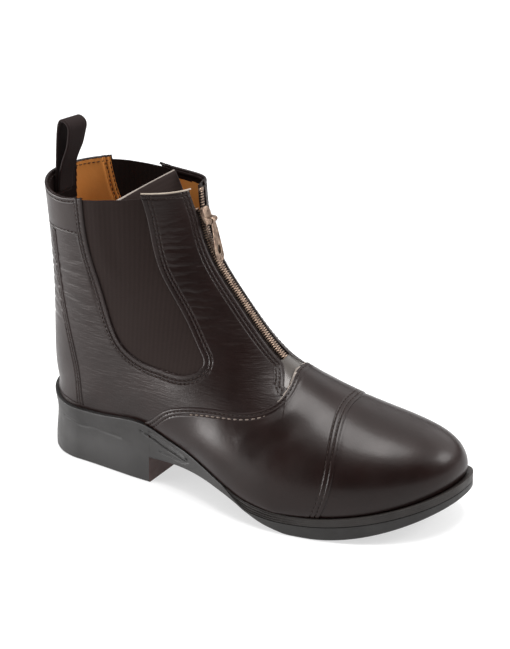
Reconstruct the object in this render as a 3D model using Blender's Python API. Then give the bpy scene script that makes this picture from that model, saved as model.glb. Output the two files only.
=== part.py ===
"""Right jodhpur boot with a front zip and elastic side gores, standing empty on its sole.

The shape functions work in millimetres: x from the heel's back to the toe, y to the boot's left (the
medial side of a right boot) and z up from the floor. Objects are made in metres.
"""

import math

import bmesh
import bpy
import numpy as np
from mathutils import Matrix, Vector

MM = 0.001

for old in list(bpy.data.objects):
    bpy.data.objects.remove(old, do_unlink=True)


# Helpers

def table(names, *rows):
    """A short table with named columns, as arrays."""
    return {name: np.array(column, float) for name, column in zip(names.split(), zip(*rows))}


def spline(knots, values, at, slopes=None):
    """Cubic spline through the values, natural at its ends or with the two end slopes given."""
    k, f, at = (np.asarray(v, float) for v in (knots, values, at))
    n, gap = len(k), np.diff(k)
    a, r = np.zeros((n, n)), np.zeros(n)
    rise = np.diff(f) / gap
    for i in range(1, n - 1):
        a[i, i - 1:i + 2] = gap[i - 1], 2 * (gap[i - 1] + gap[i]), gap[i]
        r[i] = 6 * (rise[i] - rise[i - 1])
    a[0, 0] = a[-1, -1] = 1
    if slopes is not None:
        a[0, :2], r[0] = (2 * gap[0], gap[0]), 6 * (rise[0] - slopes[0])
        a[-1, -2:], r[-1] = (gap[-1], 2 * gap[-1]), 6 * (slopes[1] - rise[-1])
    m = np.linalg.solve(a, r)
    i = np.clip(np.searchsorted(k, at, side="right") - 1, 0, n - 2)
    t, u, w = at - k[i], k[i + 1] - at, gap[i]
    ends = (f[i] / w - m[i] * w / 6) * u + (f[i + 1] / w - m[i + 1] * w / 6) * t
    return (m[i] * u**3 + m[i + 1] * t**3) / (6 * w) + ends


def along(points, count, smooth=True):
    """That many points, evenly spaced, along the smooth curve or the polyline through a few points."""
    p = np.array(points, float)
    d = np.r_[0, np.cumsum(np.linalg.norm(np.diff(p, axis=0), axis=1))]
    if smooth:
        dense = np.linspace(0, d[-1], 400)
        p = np.stack([spline(d, p[:, k], dense) for k in range(p.shape[1])], -1)
        d = np.r_[0, np.cumsum(np.linalg.norm(np.diff(p, axis=0), axis=1))]
    t = np.linspace(0, d[-1], count)
    return np.stack([np.interp(t, d, p[:, k]) for k in range(p.shape[1])], -1)


# Driving sizes of the last and the sole

SOLE_LENGTH = 286.0
HEEL_ARC = 33.0                # x where the round back of the heel ends
BALL_X = 192.0                 # x where the round toe begins
SWING_X, SWING = 145.0, 20.0   # the centre line swings to the medial side from here to the toe tip
SIDE_MARGIN, HEEL_MARGIN, TOE_MARGIN = 2.0, 2.5, 4.5   # sole's edge outside the feather line
TOE_ROUND = {"lateral": 2.25, "medial": 2.1}
TOE_SPRING = 17.0
BALL_FEATHER = 13.5            # feather line above the floor at the ball
BREAST_X, BREAST_HIGH = 90.0, 17.2
FLAT_FROM, FLAT_TO = 200.0, 212.0   # the forefoot's flat spot
WALL = 2.0                     # upper's leather and lining
SKIN = -0.9                    # upper's outer face below the visible overlays' middle
OVERLAY_LOW, OVERLAY_HIGH = -0.3, 0.7
HEEL_OVERLAY_LOW = -0.1        # round the tighter curve of the heel
CLEAR = 0.3

PLAN = table(
    "x lateral medial",
    (HEEL_ARC, 34.0, 34.0),
    (75, 36.0, 33.0),
    (115, 38.0, 31.5),
    (150, 47.6, 39.0),
    (BALL_X, 54.0, 47.5))

FEATHER = table(
    "x z",
    (0, 42.5), (12, 39.5), (25, 37.6), (40, 37.3), (55, 38.4), (68, 40.3), (80, 41.2), (91, 39.7), (105, 35.0),
    (120, 31.3), (135, 27.0), (150, 22.2), (163, 17.4), (177, 14.7), (BALL_X, BALL_FEATHER))

WAIST = table(
    "x z",
    (BREAST_X, BREAST_HIGH), (105, 18.2), (121, 18.5), (135, 18.0), (149, 16.0), (162, 12.0), (172, 7.6), (182, 3.7),
    (192, 1.2), (FLAT_FROM, 0))

# One row for each section: it runs from its top on the ridge down and back to its base on the feather line
# or, above the heel, on the back seam. Widest is the height fraction of the greatest half width.
TOE_X = SOLE_LENGTH - TOE_MARGIN
SECTIONS = table(
    "top_x top_z base_x base_z lateral medial widest round_lateral round_medial round_base turn",
    (TOE_X, 30.5, BALL_X, 0, 52.0, 45.5, 0.00, 2.25, 2.10, 2.0, 0),
    (283.0, 38.5, 184, 0, 53.5, 46.5, 0.08, 2.25, 2.10, 2.0, 0),
    (278.5, 49.0, 175, 0, 54.0, 47.0, 0.14, 2.25, 2.10, 2.0, 0),
    (266.0, 57.5, 165, 0, 53.5, 46.5, 0.20, 2.20, 2.10, 2.0, 0),
    (246.5, 63.5, 154, 0, 52.0, 45.0, 0.25, 2.15, 2.10, 2.0, 0),
    (225.0, 69.0, 142, 0, 49.5, 43.5, 0.28, 2.10, 2.05, 2.0, 0),
    (203.0, 76.0, 131, 0, 47.0, 42.0, 0.28, 2.00, 2.00, 2.0, 0),
    (184.5, 83.5, 119, 0, 44.0, 40.5, 0.28, 1.95, 1.95, 2.0, 0),
    (170.0, 91.5, 106, 0, 41.0, 39.0, 0.28, 1.90, 1.90, 2.0, 0),
    (159.0, 101.5, 88, 0, 39.0, 37.5, 0.30, 1.85, 1.85, 2.0, 0),
    (149.0, 113.0, 66, 0, 37.5, 36.5, 0.33, 1.85, 1.85, 2.0, 0),
    (138.0, 126.0, 33, 0, 36.0, 35.5, 0.40, 1.90, 1.90, 2.1, 0),
    (127.5, 138.5, 11, 0, 35.5, 35.0, 0.45, 1.95, 1.95, 2.1, 0),
    (119.3, 149.5, HEEL_MARGIN, 43, 35.2, 34.8, 0.47, 2.00, 2.00, 2.1, 0.5),
    (112.5, 161.5, 1.5, 62, 34.8, 34.5, 0.48, 2.05, 2.05, 2.1, 2),
    (107.0, 175.0, 4.5, 105, 35.0, 35.0, 0.48, 2.10, 2.10, 2.15, 4),
    (103.5, 185.0, 5.5, 145, 36.0, 36.5, 0.48, 2.15, 2.15, 2.2, 6),
    (100.5, 196.0, 5.0, 182, 37.5, 38.5, 0.48, 2.20, 2.20, 2.25, 8),
    (98.5, 207.0, 4.0, 200, 38.5, 40.0, 0.48, 2.20, 2.20, 2.25, 9.5))
HEEL_ROW = 13
LAST_ROW = len(SECTIONS["top_x"]) - 1


# Plan and feather line

def centre_y(x):
    """The centre line: straight from the heel, then swinging to the medial side."""
    t = np.clip((np.asarray(x, float) - SWING_X) / (SOLE_LENGTH - SWING_X), 0, 1)
    return SWING * t**1.4


def half_width(x, side, drawn_in=0.0, inset=0.0):
    """Half width of the plan at x: drawn_in 0 is the sole's edge, 1 the feather line."""
    x = np.asarray(x, float)
    back = drawn_in * HEEL_MARGIN + inset
    tip = SOLE_LENGTH - drawn_in * TOE_MARGIN - inset
    width = spline(PLAN["x"], PLAN[side], np.clip(x, HEEL_ARC, BALL_X), (0, 0))
    width = width - drawn_in * SIDE_MARGIN - inset
    a = np.clip((HEEL_ARC - x) / (HEEL_ARC - back), 0, 1)
    b = np.clip((x - BALL_X) / (tip - BALL_X), 0, 1)
    n = TOE_ROUND[side]
    return width * np.sqrt(1 - a**2) * (1 - b**n) ** (1 / n)


def feather_z(x):
    x = np.asarray(x, float)
    t = np.clip((x - BALL_X) / (TOE_X - BALL_X), 0, 1.1)
    return spline(FEATHER["x"], FEATHER["z"], np.minimum(x, BALL_X), (-0.15, 0)) + TOE_SPRING * t**2


def floor_z(x):
    """The sole's underside: flat heel, arched waist, flat spot under the ball, then the toe spring."""
    x = np.asarray(x, float)
    waist = spline(WAIST["x"], WAIST["z"], np.clip(x, BREAST_X, FLAT_FROM), (0.08, 0))
    waist = np.where(x < BREAST_X, 0, np.where(x > FLAT_FROM, 0, np.maximum(waist, 0)))
    return waist + TOE_SPRING * np.clip((x - FLAT_TO) / (SOLE_LENGTH - FLAT_TO), 0, 1) ** 1.7


# The last's surface, from the sections

ROWS = np.linspace(0, LAST_ROW, 200 * LAST_ROW + 1)


def section_columns():
    numbers = np.arange(LAST_ROW + 1)
    col = {name: spline(numbers, values, ROWS) for name, values in SECTIONS.items()}
    low = spline(numbers[:HEEL_ROW + 1], SECTIONS["base_x"][:HEEL_ROW + 1], np.minimum(ROWS, HEEL_ROW), (-8, 0))
    low = np.clip(low, HEEL_MARGIN, BALL_X)
    heel_z = float(feather_z(HEEL_MARGIN))
    up_rows = np.maximum(ROWS, HEEL_ROW)
    up_x = spline(numbers[HEEL_ROW:], SECTIONS["base_x"][HEEL_ROW:], up_rows)
    up_z = spline(numbers[HEEL_ROW:], np.r_[heel_z, SECTIONS["base_z"][HEEL_ROW + 1:]], up_rows)
    on_feather = ROWS <= HEEL_ROW
    col["base_x"] = np.where(on_feather, low, up_x)
    col["base_z"] = np.where(on_feather, feather_z(low), up_z)
    col["sag"] = TOE_SPRING * np.clip(1 - ROWS / 4, 0, 1) ** 2
    for side in ("lateral", "medial"):
        at_base = np.where(on_feather, half_width(low, side, 1.0), 0)
        col["base_" + side] = at_base
        col[side] = np.maximum(col[side], at_base)
    col["widest"] = np.maximum(col["widest"], 0)
    return col


COLUMNS = section_columns()


def look(name, s):
    return np.interp(s, ROWS, COLUMNS[name])


def locate(x, z):
    """Section number s and height fraction h of the side view's points."""
    x, z = np.asarray(x, float), np.asarray(z, float)
    low, high = np.zeros_like(x), np.full_like(x, LAST_ROW)
    for _ in range(44):
        s = (low + high) / 2
        bx = look("base_x", s)
        h = (x - bx) / (look("top_x", s) - bx)
        row_z = look("base_z", s) * (1 - h) + look("top_z", s) * h - look("sag", s) * h * (1 - h)
        low, high = np.where(row_z < z, s, low), np.where(row_z < z, high, s)
    bx = look("base_x", s)
    return s, np.clip((x - bx) / (look("top_x", s) - bx), 0, 1)


def half_section(s, h, side):
    """Half width of section s at height fraction h: superellipse quarters above and below the widest place."""
    wide, base = look(side, s), look("base_" + side, s)
    hm, n, m = look("widest", s), look("round_" + side, s), look("round_base", s)
    above = np.clip((h - hm) / (1 - hm), 0, 1)
    reach = hm / np.maximum(1 - (base / wide) ** m, 1e-4) ** (1 / m)
    below = np.clip((hm - h) / np.maximum(reach, 1e-6), 0, 1)
    return wide * np.where(h >= hm, (1 - above**n) ** (1 / n), (1 - below**m) ** (1 / m))


def on_last(s, h, side):
    """Point of the last at section s and height fraction h."""
    bx, bz = look("base_x", s), look("base_z", s)
    x = bx + h * (look("top_x", s) - bx)
    z = bz + h * (look("top_z", s) - bz) - look("sag", s) * h * (1 - h)
    sign = -1 if side == "lateral" else 1
    y = sign * half_section(s, h, side) + centre_y(x) + look("turn", s) * (2 * h - 1)
    return np.stack([x, y, z], -1)


def from_ridge(s, distance, side):
    """Height fraction at which section s is that far from its ridge, across."""
    part = np.clip(distance / look(side, s), 0, 1)
    n, hm = look("round_" + side, s), look("widest", s)
    return hm + (1 - hm) * (1 - part**n) ** (1 / n)


def ridge(s):
    return np.stack([look("top_x", s), look("top_z", s)], -1)


def feather(x):
    return np.stack([np.asarray(x, float), feather_z(x)], -1)


def ridge_row(x):
    """Section number whose top is at x, behind the toe's front."""
    rows = ROWS[ROWS > 1]
    return np.interp(-x, -np.interp(rows, ROWS, COLUMNS["top_x"]), rows)


# Seams of the pattern, drawn on the side view in x and z

CAP_TOP = 217.5
CAP_FOOT = {"lateral": 217.0, "medial": 210.0}   # the cap's seam slants back on the medial side
CAP_BOW = {"lateral": 6.0, "medial": -4.0}
VAMP_TOP, VAMP_FOOT = 178.0, 86.0
VAMP_EDGE = ((179, 81), (176, 74), (164, 68.5), (147, 66), (120, 62.5), (104, 55.5), (92, 45))
GORE_FOOT = (82, 84), (100, 81.5)
GORE_REAR = {
    "lateral": ((46, 186), (47, 162), (51, 141), (57, 121), (63, 103), (71, 90.5), *GORE_FOOT),
    "medial": ((22.8, 189), (28, 164), (37, 143), (48, 122), (58, 104), (68, 91.5), *GORE_FOOT)}
GORE_FRONT = {
    "lateral": ((81, 191), (84, 180), (88, 161), (94, 142), (103, 128), (114, 112), (124, 97), (127.5, 90), (122, 84),
                GORE_FOOT[-1]),
    "medial": ((52.5, 186.5), (57, 178), (67, 162), (79, 144), (93, 128), (108, 112), (122, 97), (127.5, 90), (122, 84),
               GORE_FOOT[-1])}
BACKSTAY_EDGE = ((38, 42), (34, 70), (28, 96), (23, 122), (21, 157.2))
BAND_LOW_BACK = 158.0
BAND_END = {"lateral": ((44.4, 185.6), (45, 159)), "medial": ((21.3, 188.4), (27.3, 159))}   # top and foot at the gore
COLLAR_BACK = 188.5
COLLAR_SAG = {"lateral": (0.0, 3.5), "medial": (2.5, 0.0)}   # dip of the front and back collar edges
SLIDER_ROW = 14.8
COLLAR_ROW = 16.5              # section at which the zip's slit ends at the collar
SLIT = {"lateral": (5.0, 8.5), "medial": (4.5, 7.0)}   # half the slit's width below the slider and at the collar


def back_seam(z):
    rows = ROWS[ROWS >= HEEL_ROW]
    s = np.interp(z, np.interp(rows, ROWS, COLUMNS["base_z"]), rows)
    return np.stack([look("base_x", s), look("base_z", s)], -1)


def slit_half(s, side):
    """Half the slit's width: it opens out above the slider."""
    shut, wide = SLIT[side]
    t = np.clip((s - SLIDER_ROW) / (COLLAR_ROW - SLIDER_ROW), 0, 1)
    return shut + (wide - shut) * t**1.3


def slit_edge(s, side):
    return on_last(s, from_ridge(s, slit_half(s, side), side), side)[..., [0, 2]]


def lines(start, end, side, count, bow=None, sag=None):
    """Lines over the last from one side-view curve to another, each with its points evenly spaced.

    bow moves the middle of each line forward and sag moves it down.
    """
    t = np.linspace(0, 1, 81)
    t = t * t * (3 - 2 * t)
    grid = []
    for i in range(len(start)):
        path = start[i] + (end[i] - start[i]) * t[:, None]
        if bow is not None:
            path[:, 0] += bow[i] * 4 * t * (1 - t)
        if sag is not None:
            path[:, 1] -= sag[i] * 4 * t * (1 - t)
        s, h = locate(path[:, 0], path[:, 1])
        p = on_last(s, h, side)
        grid.append(along(p, count, smooth=False))
    return np.array(grid)


def cap_patch(side, across, up):
    turn = np.linspace(0, 1, across)
    foot = CAP_FOOT[side] + (TOE_X - CAP_FOOT[side]) * np.sin(turn * math.pi / 2) ** 0.9
    top_row = float(ridge_row(CAP_TOP))
    start = feather(foot)
    end = ridge(top_row * (1 - turn) ** 1.0)
    return lines(start, end, side, up, CAP_BOW[side] * (1 - turn) ** 2)


def vamp_edge(side, count):
    """The vamp's back edge from the slit's foot down to the feather line."""
    top = slit_edge(float(ridge_row(VAMP_TOP)), side)
    return along([top, *VAMP_EDGE[1:], feather(VAMP_FOOT)], count)


def vamp_patch(side, front, back, up):
    top_rows = np.linspace(float(ridge_row(CAP_TOP)), float(ridge_row(VAMP_TOP)), front)
    edge = vamp_edge(side, back)
    end = np.concatenate([ridge(top_rows), edge])
    count = len(end)
    share = np.r_[np.linspace(0, 0.3, front), np.linspace(0.33, 1, back)]
    start = feather(CAP_FOOT[side] + (VAMP_FOOT - CAP_FOOT[side]) * share)
    bow = CAP_BOW[side] * np.clip(1 - np.arange(count) / front, 0, 1) ** 2
    return lines(start, end, side, up, bow)


def quarter_patch(side, counts, up):
    """The U round the gore: from the collar at the zip, down, under the gore and up to the collar at the back."""
    zip_count, vamp_count, feather_count, back_count = counts
    rows = np.linspace(COLLAR_ROW, float(ridge_row(VAMP_TOP)), zip_count)
    outer = [slit_edge(rows, side), vamp_edge(side, vamp_count)[1:]]
    heel = np.sin(np.linspace(0, 1, feather_count) * math.pi / 2)
    outer.append(feather(VAMP_FOOT + (HEEL_MARGIN - VAMP_FOOT) * heel)[1:])
    outer.append(back_seam(np.linspace(float(feather_z(HEEL_MARGIN)), COLLAR_BACK, back_count))[1:])
    outer = np.concatenate(outer)
    front, back = COLLAR_SAG[side]
    fade = np.clip(1 - np.arange(len(outer)) / 4, 0, 1) ** 2
    return lines(gore_border(side, counts), outer, side, up, sag=front * fade + back * fade[::-1])


def gore_border(side, counts):
    """Points round the gore from its front top corner to its back one, a point for each line of the quarter."""
    border = np.concatenate([along(GORE_FRONT[side], 300)[:-1], along(GORE_REAR[side], 300)[::-1]])
    marks = np.cumsum([0, *(count - 1 for count in counts)])
    share = np.interp(np.arange(marks[-1] + 1), marks, (0, 0.42, 0.60, 0.74, 1.0))
    return along(border, 600, smooth=False)[np.round(share * 599).astype(int)]


def gore_patch(side, counts, across):
    border = gore_border(side, counts)
    half = len(border) // 2
    return lines(border[::-1][:half], border[:half], side, across)


# Meshes

class Sheet:
    """Faces gathered patch by patch. Points that coincide become one."""

    def __init__(self):
        self.points, self.faces, self.index = [], [], {}

    def number(self, point):
        key = tuple(np.round(point, 3))
        if key not in self.index:
            self.index[key] = len(self.points)
            self.points.append(point)
        return self.index[key]

    def add(self, grid, turned=False):
        ids = [[self.number(p) for p in row] for row in grid]
        for i in range(len(ids) - 1):
            for j in range(len(ids[0]) - 1):
                corners = [ids[i][j], ids[i + 1][j], ids[i + 1][j + 1], ids[i][j + 1]]
                corners = list(dict.fromkeys(corners))
                if len(corners) > 2:
                    self.faces.append(corners[::-1] if turned else corners)

    def arrays(self):
        return np.array(self.points), self.faces


def material(name, colour, roughness, metallic=0.0):
    found = bpy.data.materials.get(name) or bpy.data.materials.new(name)
    found.use_nodes = True
    shader = found.node_tree.nodes["Principled BSDF"]
    shader.inputs["Base Color"].default_value = (*colour, 1)
    shader.inputs["Roughness"].default_value = roughness
    shader.inputs["Metallic"].default_value = metallic
    return found


ROOT = bpy.data.objects.new("boot", None)
bpy.context.scene.collection.objects.link(ROOT)


def make(name, points, faces, look_of, parent=ROOT):
    mesh = bpy.data.meshes.new(name)
    mesh.from_pydata([tuple(p) for p in np.asarray(points) * MM], [], [list(map(int, f)) for f in faces])
    mesh.update()
    obj = bpy.data.objects.new(name, mesh)
    obj.data.materials.append(look_of)
    bpy.context.scene.collection.objects.link(obj)
    obj.parent = parent
    return obj


def raised(points, faces, offset):
    """The same sheet moved along its vertex normals."""
    total = np.zeros_like(points)
    for f in faces:
        p = points[f]
        area = np.zeros(3)
        for k in range(1, len(f) - 1):
            area += np.cross(p[k] - p[0], p[k + 1] - p[0])
        total[f] += area
    return points + offset * total / np.maximum(np.linalg.norm(total, axis=1, keepdims=True), 1e-9)


def shell(name, sheet, outer, thickness, look_of):
    """A solid between the sheet raised by outer and the sheet that much lower."""
    points, faces = sheet.arrays()
    obj = make(name, raised(points, faces, outer), faces, look_of)
    thick = obj.modifiers.new("thickness", "SOLIDIFY")
    thick.thickness = thickness * MM
    thick.offset = -1
    thick.use_rim = True
    return obj


def loft(name, rings, look_of, closed=False, parent=ROOT):
    """A solid through closed rings of equal length, with its ends capped unless it closes on itself."""
    rings = [np.asarray(ring, float) for ring in rings]
    n, faces = len(rings[0]), []
    steps = len(rings) if closed else len(rings) - 1
    for i in range(steps):
        a, b = i * n, ((i + 1) % len(rings)) * n
        for j in range(n):
            k = (j + 1) % n
            faces.append([a + j, a + k, b + k, b + j])
    if not closed:
        faces.append(list(range(n))[::-1])
        faces.append([(len(rings) - 1) * n + j for j in range(n)])
    obj = make(name, np.concatenate(rings), faces, look_of, parent)
    tidy(obj)
    return obj


def tidy(obj):
    """Merges coincident points and turns every face out."""
    work = bmesh.new()
    work.from_mesh(obj.data)
    bmesh.ops.remove_doubles(work, verts=work.verts, dist=1e-6)
    bmesh.ops.dissolve_degenerate(work, edges=work.edges, dist=1e-6)
    bmesh.ops.recalc_face_normals(work, faces=work.faces)
    work.to_mesh(obj.data)
    work.free()


LEATHER = material("dark brown leather", (0.045, 0.032, 0.027), 0.38)
ELASTIC = material("brown elastic", (0.040, 0.028, 0.022), 0.85)
RUBBER = material("dark sole rubber", (0.050, 0.046, 0.043), 0.60)
FOOTBED = material("tan lining leather", (0.42, 0.25, 0.11), 0.60)
GUARD = material("dark lining cloth", (0.035, 0.022, 0.016), 0.80)
TAPE = material("zip tape", (0.030, 0.022, 0.018), 0.80)
BRASS = material("antique brass", (0.30, 0.24, 0.17), 0.40, 1.0)
WEBBING = material("dark webbing", (0.045, 0.036, 0.034), 0.80)


# Upper and the overlays on it

CAP_GRID = 10, 8
VAMP_GRID = 5, 12, 8
QUARTER_GRID = (13, 12, 9, 10), 8
SIDES = (("lateral", True), ("medial", False))   # with whether a patch drawn upwards and back is turned over


def upper():
    sheet = Sheet()
    for side, turned in SIDES:
        sheet.add(cap_patch(side, *CAP_GRID), not turned)
        sheet.add(vamp_patch(side, *VAMP_GRID), turned)
        sheet.add(quarter_patch(side, *QUARTER_GRID), not turned)
    return shell("upper", sheet, SKIN, WALL, LEATHER)


def lifted(grid, first=0.0, last=0.0, low=0.0, high=0.0):
    """A patch with its border drawn in by these lengths, at its two ends and its two long edges."""
    g = grid.copy()

    def toward(a, b, length):
        d = b - a
        return a + d * length / np.maximum(np.linalg.norm(d, axis=-1, keepdims=True), 1e-6)

    g[:, 0] = toward(grid[:, 0], grid[:, 1], low)
    g[:, -1] = toward(grid[:, -1], grid[:, -2], high)
    g[0] = toward(g[0], g[1], first)
    g[-1] = toward(g[-1], g[-2], last)
    return g


def overlay(name, patches, low=OVERLAY_LOW):
    sheet = Sheet()
    for grid, turned in patches:
        sheet.add(grid, turned)
    return shell(name, sheet, OVERLAY_HIGH, OVERLAY_HIGH - low, LEATHER)


def toe_cap():
    patches = [(lifted(cap_patch(side, *CAP_GRID), first=0.25, low=1.2), not turned) for side, turned in SIDES]
    return overlay("toe_cap", patches)


def vamp():
    patches = []
    for side, turned in SIDES:
        grid = lifted(vamp_patch(side, *VAMP_GRID), first=0.25, low=1.2)
        patches.append((grid[:-1], turned))
    return overlay("vamp", patches)


def backstay():
    patches = []
    for side, turned in SIDES:
        seam = back_seam(np.linspace(47, BAND_LOW_BACK - 0.6, 12))
        edge = along(BACKSTAY_EDGE, 12)
        patches.append((lines(seam, edge, side, 7), turned))
    return overlay("backstay", patches, HEEL_OVERLAY_LOW)


def collar_band():
    patches = []
    for side, turned in SIDES:
        seam = back_seam(np.linspace(BAND_LOW_BACK + 0.2, COLLAR_BACK - 0.5, 5))
        top, foot = BAND_END[side]
        front = along([foot, top], 5, smooth=False)
        sag = COLLAR_SAG[side][1] * np.linspace(0, 1, 5) ** 2
        patches.append((lines(seam, front, side, 9, sag=sag), turned))
    return overlay("collar_band", patches, HEEL_OVERLAY_LOW)


def gore(side, turned):
    sheet = Sheet()
    grid = lifted(gore_patch(side, QUARTER_GRID[0], 6), first=2.4, last=0.5, low=0.6, high=0.6)
    sheet.add(grid, not turned)
    return shell("gore_" + side, sheet, SKIN - 0.5, 1.2, ELASTIC)


# Sole

STATION_COUNTS = 7, 17, 12


def stations(drawn_in, inset):
    """The x values along the sole: by angle round the heel, evenly along the sides, by angle round the toe."""
    heel_n, side_n, toe_n = STATION_COUNTS
    back = drawn_in * HEEL_MARGIN + inset
    tip = SOLE_LENGTH - drawn_in * TOE_MARGIN - inset
    heel = HEEL_ARC - (HEEL_ARC - back) * np.cos(np.linspace(0, math.pi / 2, heel_n))
    sides = np.linspace(HEEL_ARC, BALL_X, side_n)[1:-1]
    sides = np.sort(np.r_[sides[abs(sides - BREAST_X) > 3], BREAST_X - 0.3, BREAST_X + 0.3])
    toe = BALL_X + (tip - BALL_X) * np.sin(np.linspace(0, math.pi / 2, toe_n)) ** (2 / 2.2)
    return np.r_[heel, sides, np.sort(np.r_[toe, FLAT_FROM, FLAT_TO])]


def loop_of(drawn_in, inset, height, side):
    x = stations(drawn_in, inset)
    sign = -1 if side == "lateral" else 1
    y = centre_y(x) + sign * half_width(x, side, drawn_in, inset)
    return np.stack([x, y, height(x)], -1)


def sole_solid(name, loops, look_of):
    """A solid from loops round the plan, listed from the top face's edge over the side to the underside's."""
    rings = []
    for i in range(len(loops[0]["lateral"])):
        lateral = [loop["lateral"][i] for loop in loops]
        medial = [loop["medial"][i] for loop in loops]
        rings.append(lateral + medial[::-1])
    return loft(name, rings, look_of)


def loops(rows):
    made = []
    for drawn_in, inset, height in rows:
        made.append({side: loop_of(drawn_in, inset, height, side) for side, _ in SIDES})
    return made


REBATE = 5.5
REBATE_FROM, REBATE_TO = 150.0, 174.0


def rebate(x):
    """Depth of the step on which the welt lies."""
    t = np.clip((x - REBATE_FROM) / (REBATE_TO - REBATE_FROM), 0, 1)
    return 0.8 + (REBATE - 0.8) * t * t * (3 - 2 * t)


def sole_top(x):
    return feather_z(x) - CLEAR


def ledge(x):
    return sole_top(x) - rebate(x)


def outsole():
    rows = (
        (1, 0.3, sole_top),
        (1, 0.3, ledge),
        (0, 0.6, ledge),
        (0, 0.0, lambda x: ledge(x) - 0.8),
        (0, 0.0, lambda x: ledge(x) - 2.2),
        (0, 0.5, lambda x: floor_z(x) + 0.45 * (ledge(x) - floor_z(x))),
        (0, 0.6, lambda x: floor_z(x) + 1.0),
        (0, 1.6, floor_z))
    return sole_solid("outsole", loops(rows), RUBBER)


def welt():
    """The ribbed strip on the outsole's step, from the lateral waist round the toe to the medial waist."""
    base = lambda x: ledge(x) + CLEAR
    top = lambda x: feather_z(x) - 0.3

    def part(share):
        return lambda x: base(x) + share * (top(x) - base(x))

    rows = (
        (1, -0.3, base), (0, 0.3, base),
        (0, 0.0, part(0.18)), (0, 0.8, part(0.26)),
        (0, 0.8, part(0.36)), (0, 0.2, part(0.44)),
        (0, 0.2, part(0.58)), (0, 0.9, part(0.66)),
        (0, 0.9, part(0.76)), (0, 0.5, part(0.84)),
        (0, 0.9, top), (1, -0.3, part(0.92)))
    made = loops(rows)
    first = int(np.argmax(stations(0, 0) > REBATE_FROM + 6))
    count = len(stations(0, 0))
    rings = [[loop["lateral"][i] for loop in made] for i in range(first, count)]
    rings += [[loop["medial"][i] for loop in made] for i in range(count - 2, first - 1, -1)]
    return loft("welt", rings, RUBBER)


def insole():
    edge = WALL - SKIN + 2.2
    rows = (
        (1, edge, lambda x: feather_z(x) + 3.5),
        (1, edge, lambda x: feather_z(x) + 0.1))
    return sole_solid("insole", loops(rows), FOOTBED)


# Zip, tongue and loop

TAPE_FOOT_ROW = 8.2
BEAD = 2.2                     # width of a row of teeth on its tape
SLIT_CLEAR = 1.4


def at_distance(s, distance, side, offset):
    """A point that far across from the ridge of section s, raised by offset along the normal of the side view."""
    p = on_last(s, from_ridge(s, distance, side), side)
    ahead, behind = ridge(np.minimum(s + 0.05, LAST_ROW)), ridge(s - 0.05)
    along_zip = (ahead - behind) / np.linalg.norm(ahead - behind)
    return p + offset * np.array([along_zip[1], 0, -along_zip[0]])


def zip_tape(side):
    rings = []
    for s in np.linspace(TAPE_FOOT_ROW, COLLAR_ROW - 0.05, 16):
        edge = float(slit_half(s, side)) - SLIT_CLEAR
        inner = max(0.25, edge - 3.9)
        bead = inner + BEAD
        ring = [(inner, 0.3), (bead, 0.3), (bead, -1.4), (edge, -1.4), (edge, -2.6), (inner, -2.6)]
        rings.append([at_distance(s, d, side, up) for d, up in ring])
    return loft("zip_tape_" + side, rings, TAPE)


def zip_stop():
    rings = []
    for s in np.linspace(float(ridge_row(VAMP_TOP)) + 0.1, TAPE_FOOT_ROW - 0.06, 4):
        lateral, medial = slit_half(s, "lateral") - SLIT_CLEAR, slit_half(s, "medial") - SLIT_CLEAR
        ring = []
        for up, order in ((0.2, 1), (-2.2, -1)):
            places = [("lateral", lateral), ("lateral", lateral / 2), ("lateral", 0.0),
                      ("medial", medial / 2), ("medial", medial)][::order]
            ring += [at_distance(s, d, side, up) for side, d in places]
        rings.append(ring)
    return loft("zip_stop", rings, LEATHER)


def zip_frame(s):
    """Origin on the ridge at section s, with axes along the zip downwards, across and outwards."""
    ahead, behind = ridge(s - 0.05), ridge(s + 0.05)
    down = (ahead - behind) / np.linalg.norm(ahead - behind)
    point = on_last(s, 1.0, "medial")
    down = Vector((down[0], 0, down[1]))
    out = Vector((-down.z, 0, down.x))
    across = out.cross(down)
    frame = Matrix((down, across, out)).transposed().to_4x4()
    frame.translation = Vector(point) * MM
    return frame


def block(size, place, bevel=0.0):
    """Corner points and faces of a box, in a bmesh, with its upright edges rounded."""
    work = bmesh.new()
    bmesh.ops.create_cube(work, size=1)
    bmesh.ops.scale(work, vec=Vector(size) * MM, verts=work.verts)
    bmesh.ops.translate(work, vec=Vector(place) * MM, verts=work.verts)
    if bevel:
        edges = [e for e in work.edges if abs(e.verts[0].co.z - e.verts[1].co.z) > 1e-6]
        bmesh.ops.bevel(work, geom=edges, offset=bevel * MM, segments=3, affect="EDGES", profile=0.5)
    return work


def rod(radius, length, place, sides=24):
    """A cylinder whose axis runs along y."""
    work = bmesh.new()
    turn = Matrix.Rotation(math.pi / 2, 4, "X")
    bmesh.ops.create_cone(work, cap_ends=True, segments=sides, radius1=radius * MM, radius2=radius * MM,
                          depth=length * MM, matrix=Matrix.Translation(Vector(place) * MM) @ turn)
    return work


def helper(name, work):
    """A hidden object for a Boolean."""
    mesh = bpy.data.meshes.new(name)
    work.to_mesh(mesh)
    work.free()
    obj = bpy.data.objects.new(name, mesh)
    bpy.context.scene.collection.objects.link(obj)
    obj.hide_render = True
    obj.display_type = "WIRE"
    return obj


def combine(obj, operation, other):
    step = obj.modifiers.new(operation.lower(), "BOOLEAN")
    step.operation = operation
    step.solver = "EXACT"
    step.object = other
    other.parent = obj


def piece(name, work, look_of):
    obj = helper(name, work)
    obj.hide_render = False
    obj.display_type = "TEXTURED"
    obj.data.materials.append(look_of)
    return obj


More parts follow.
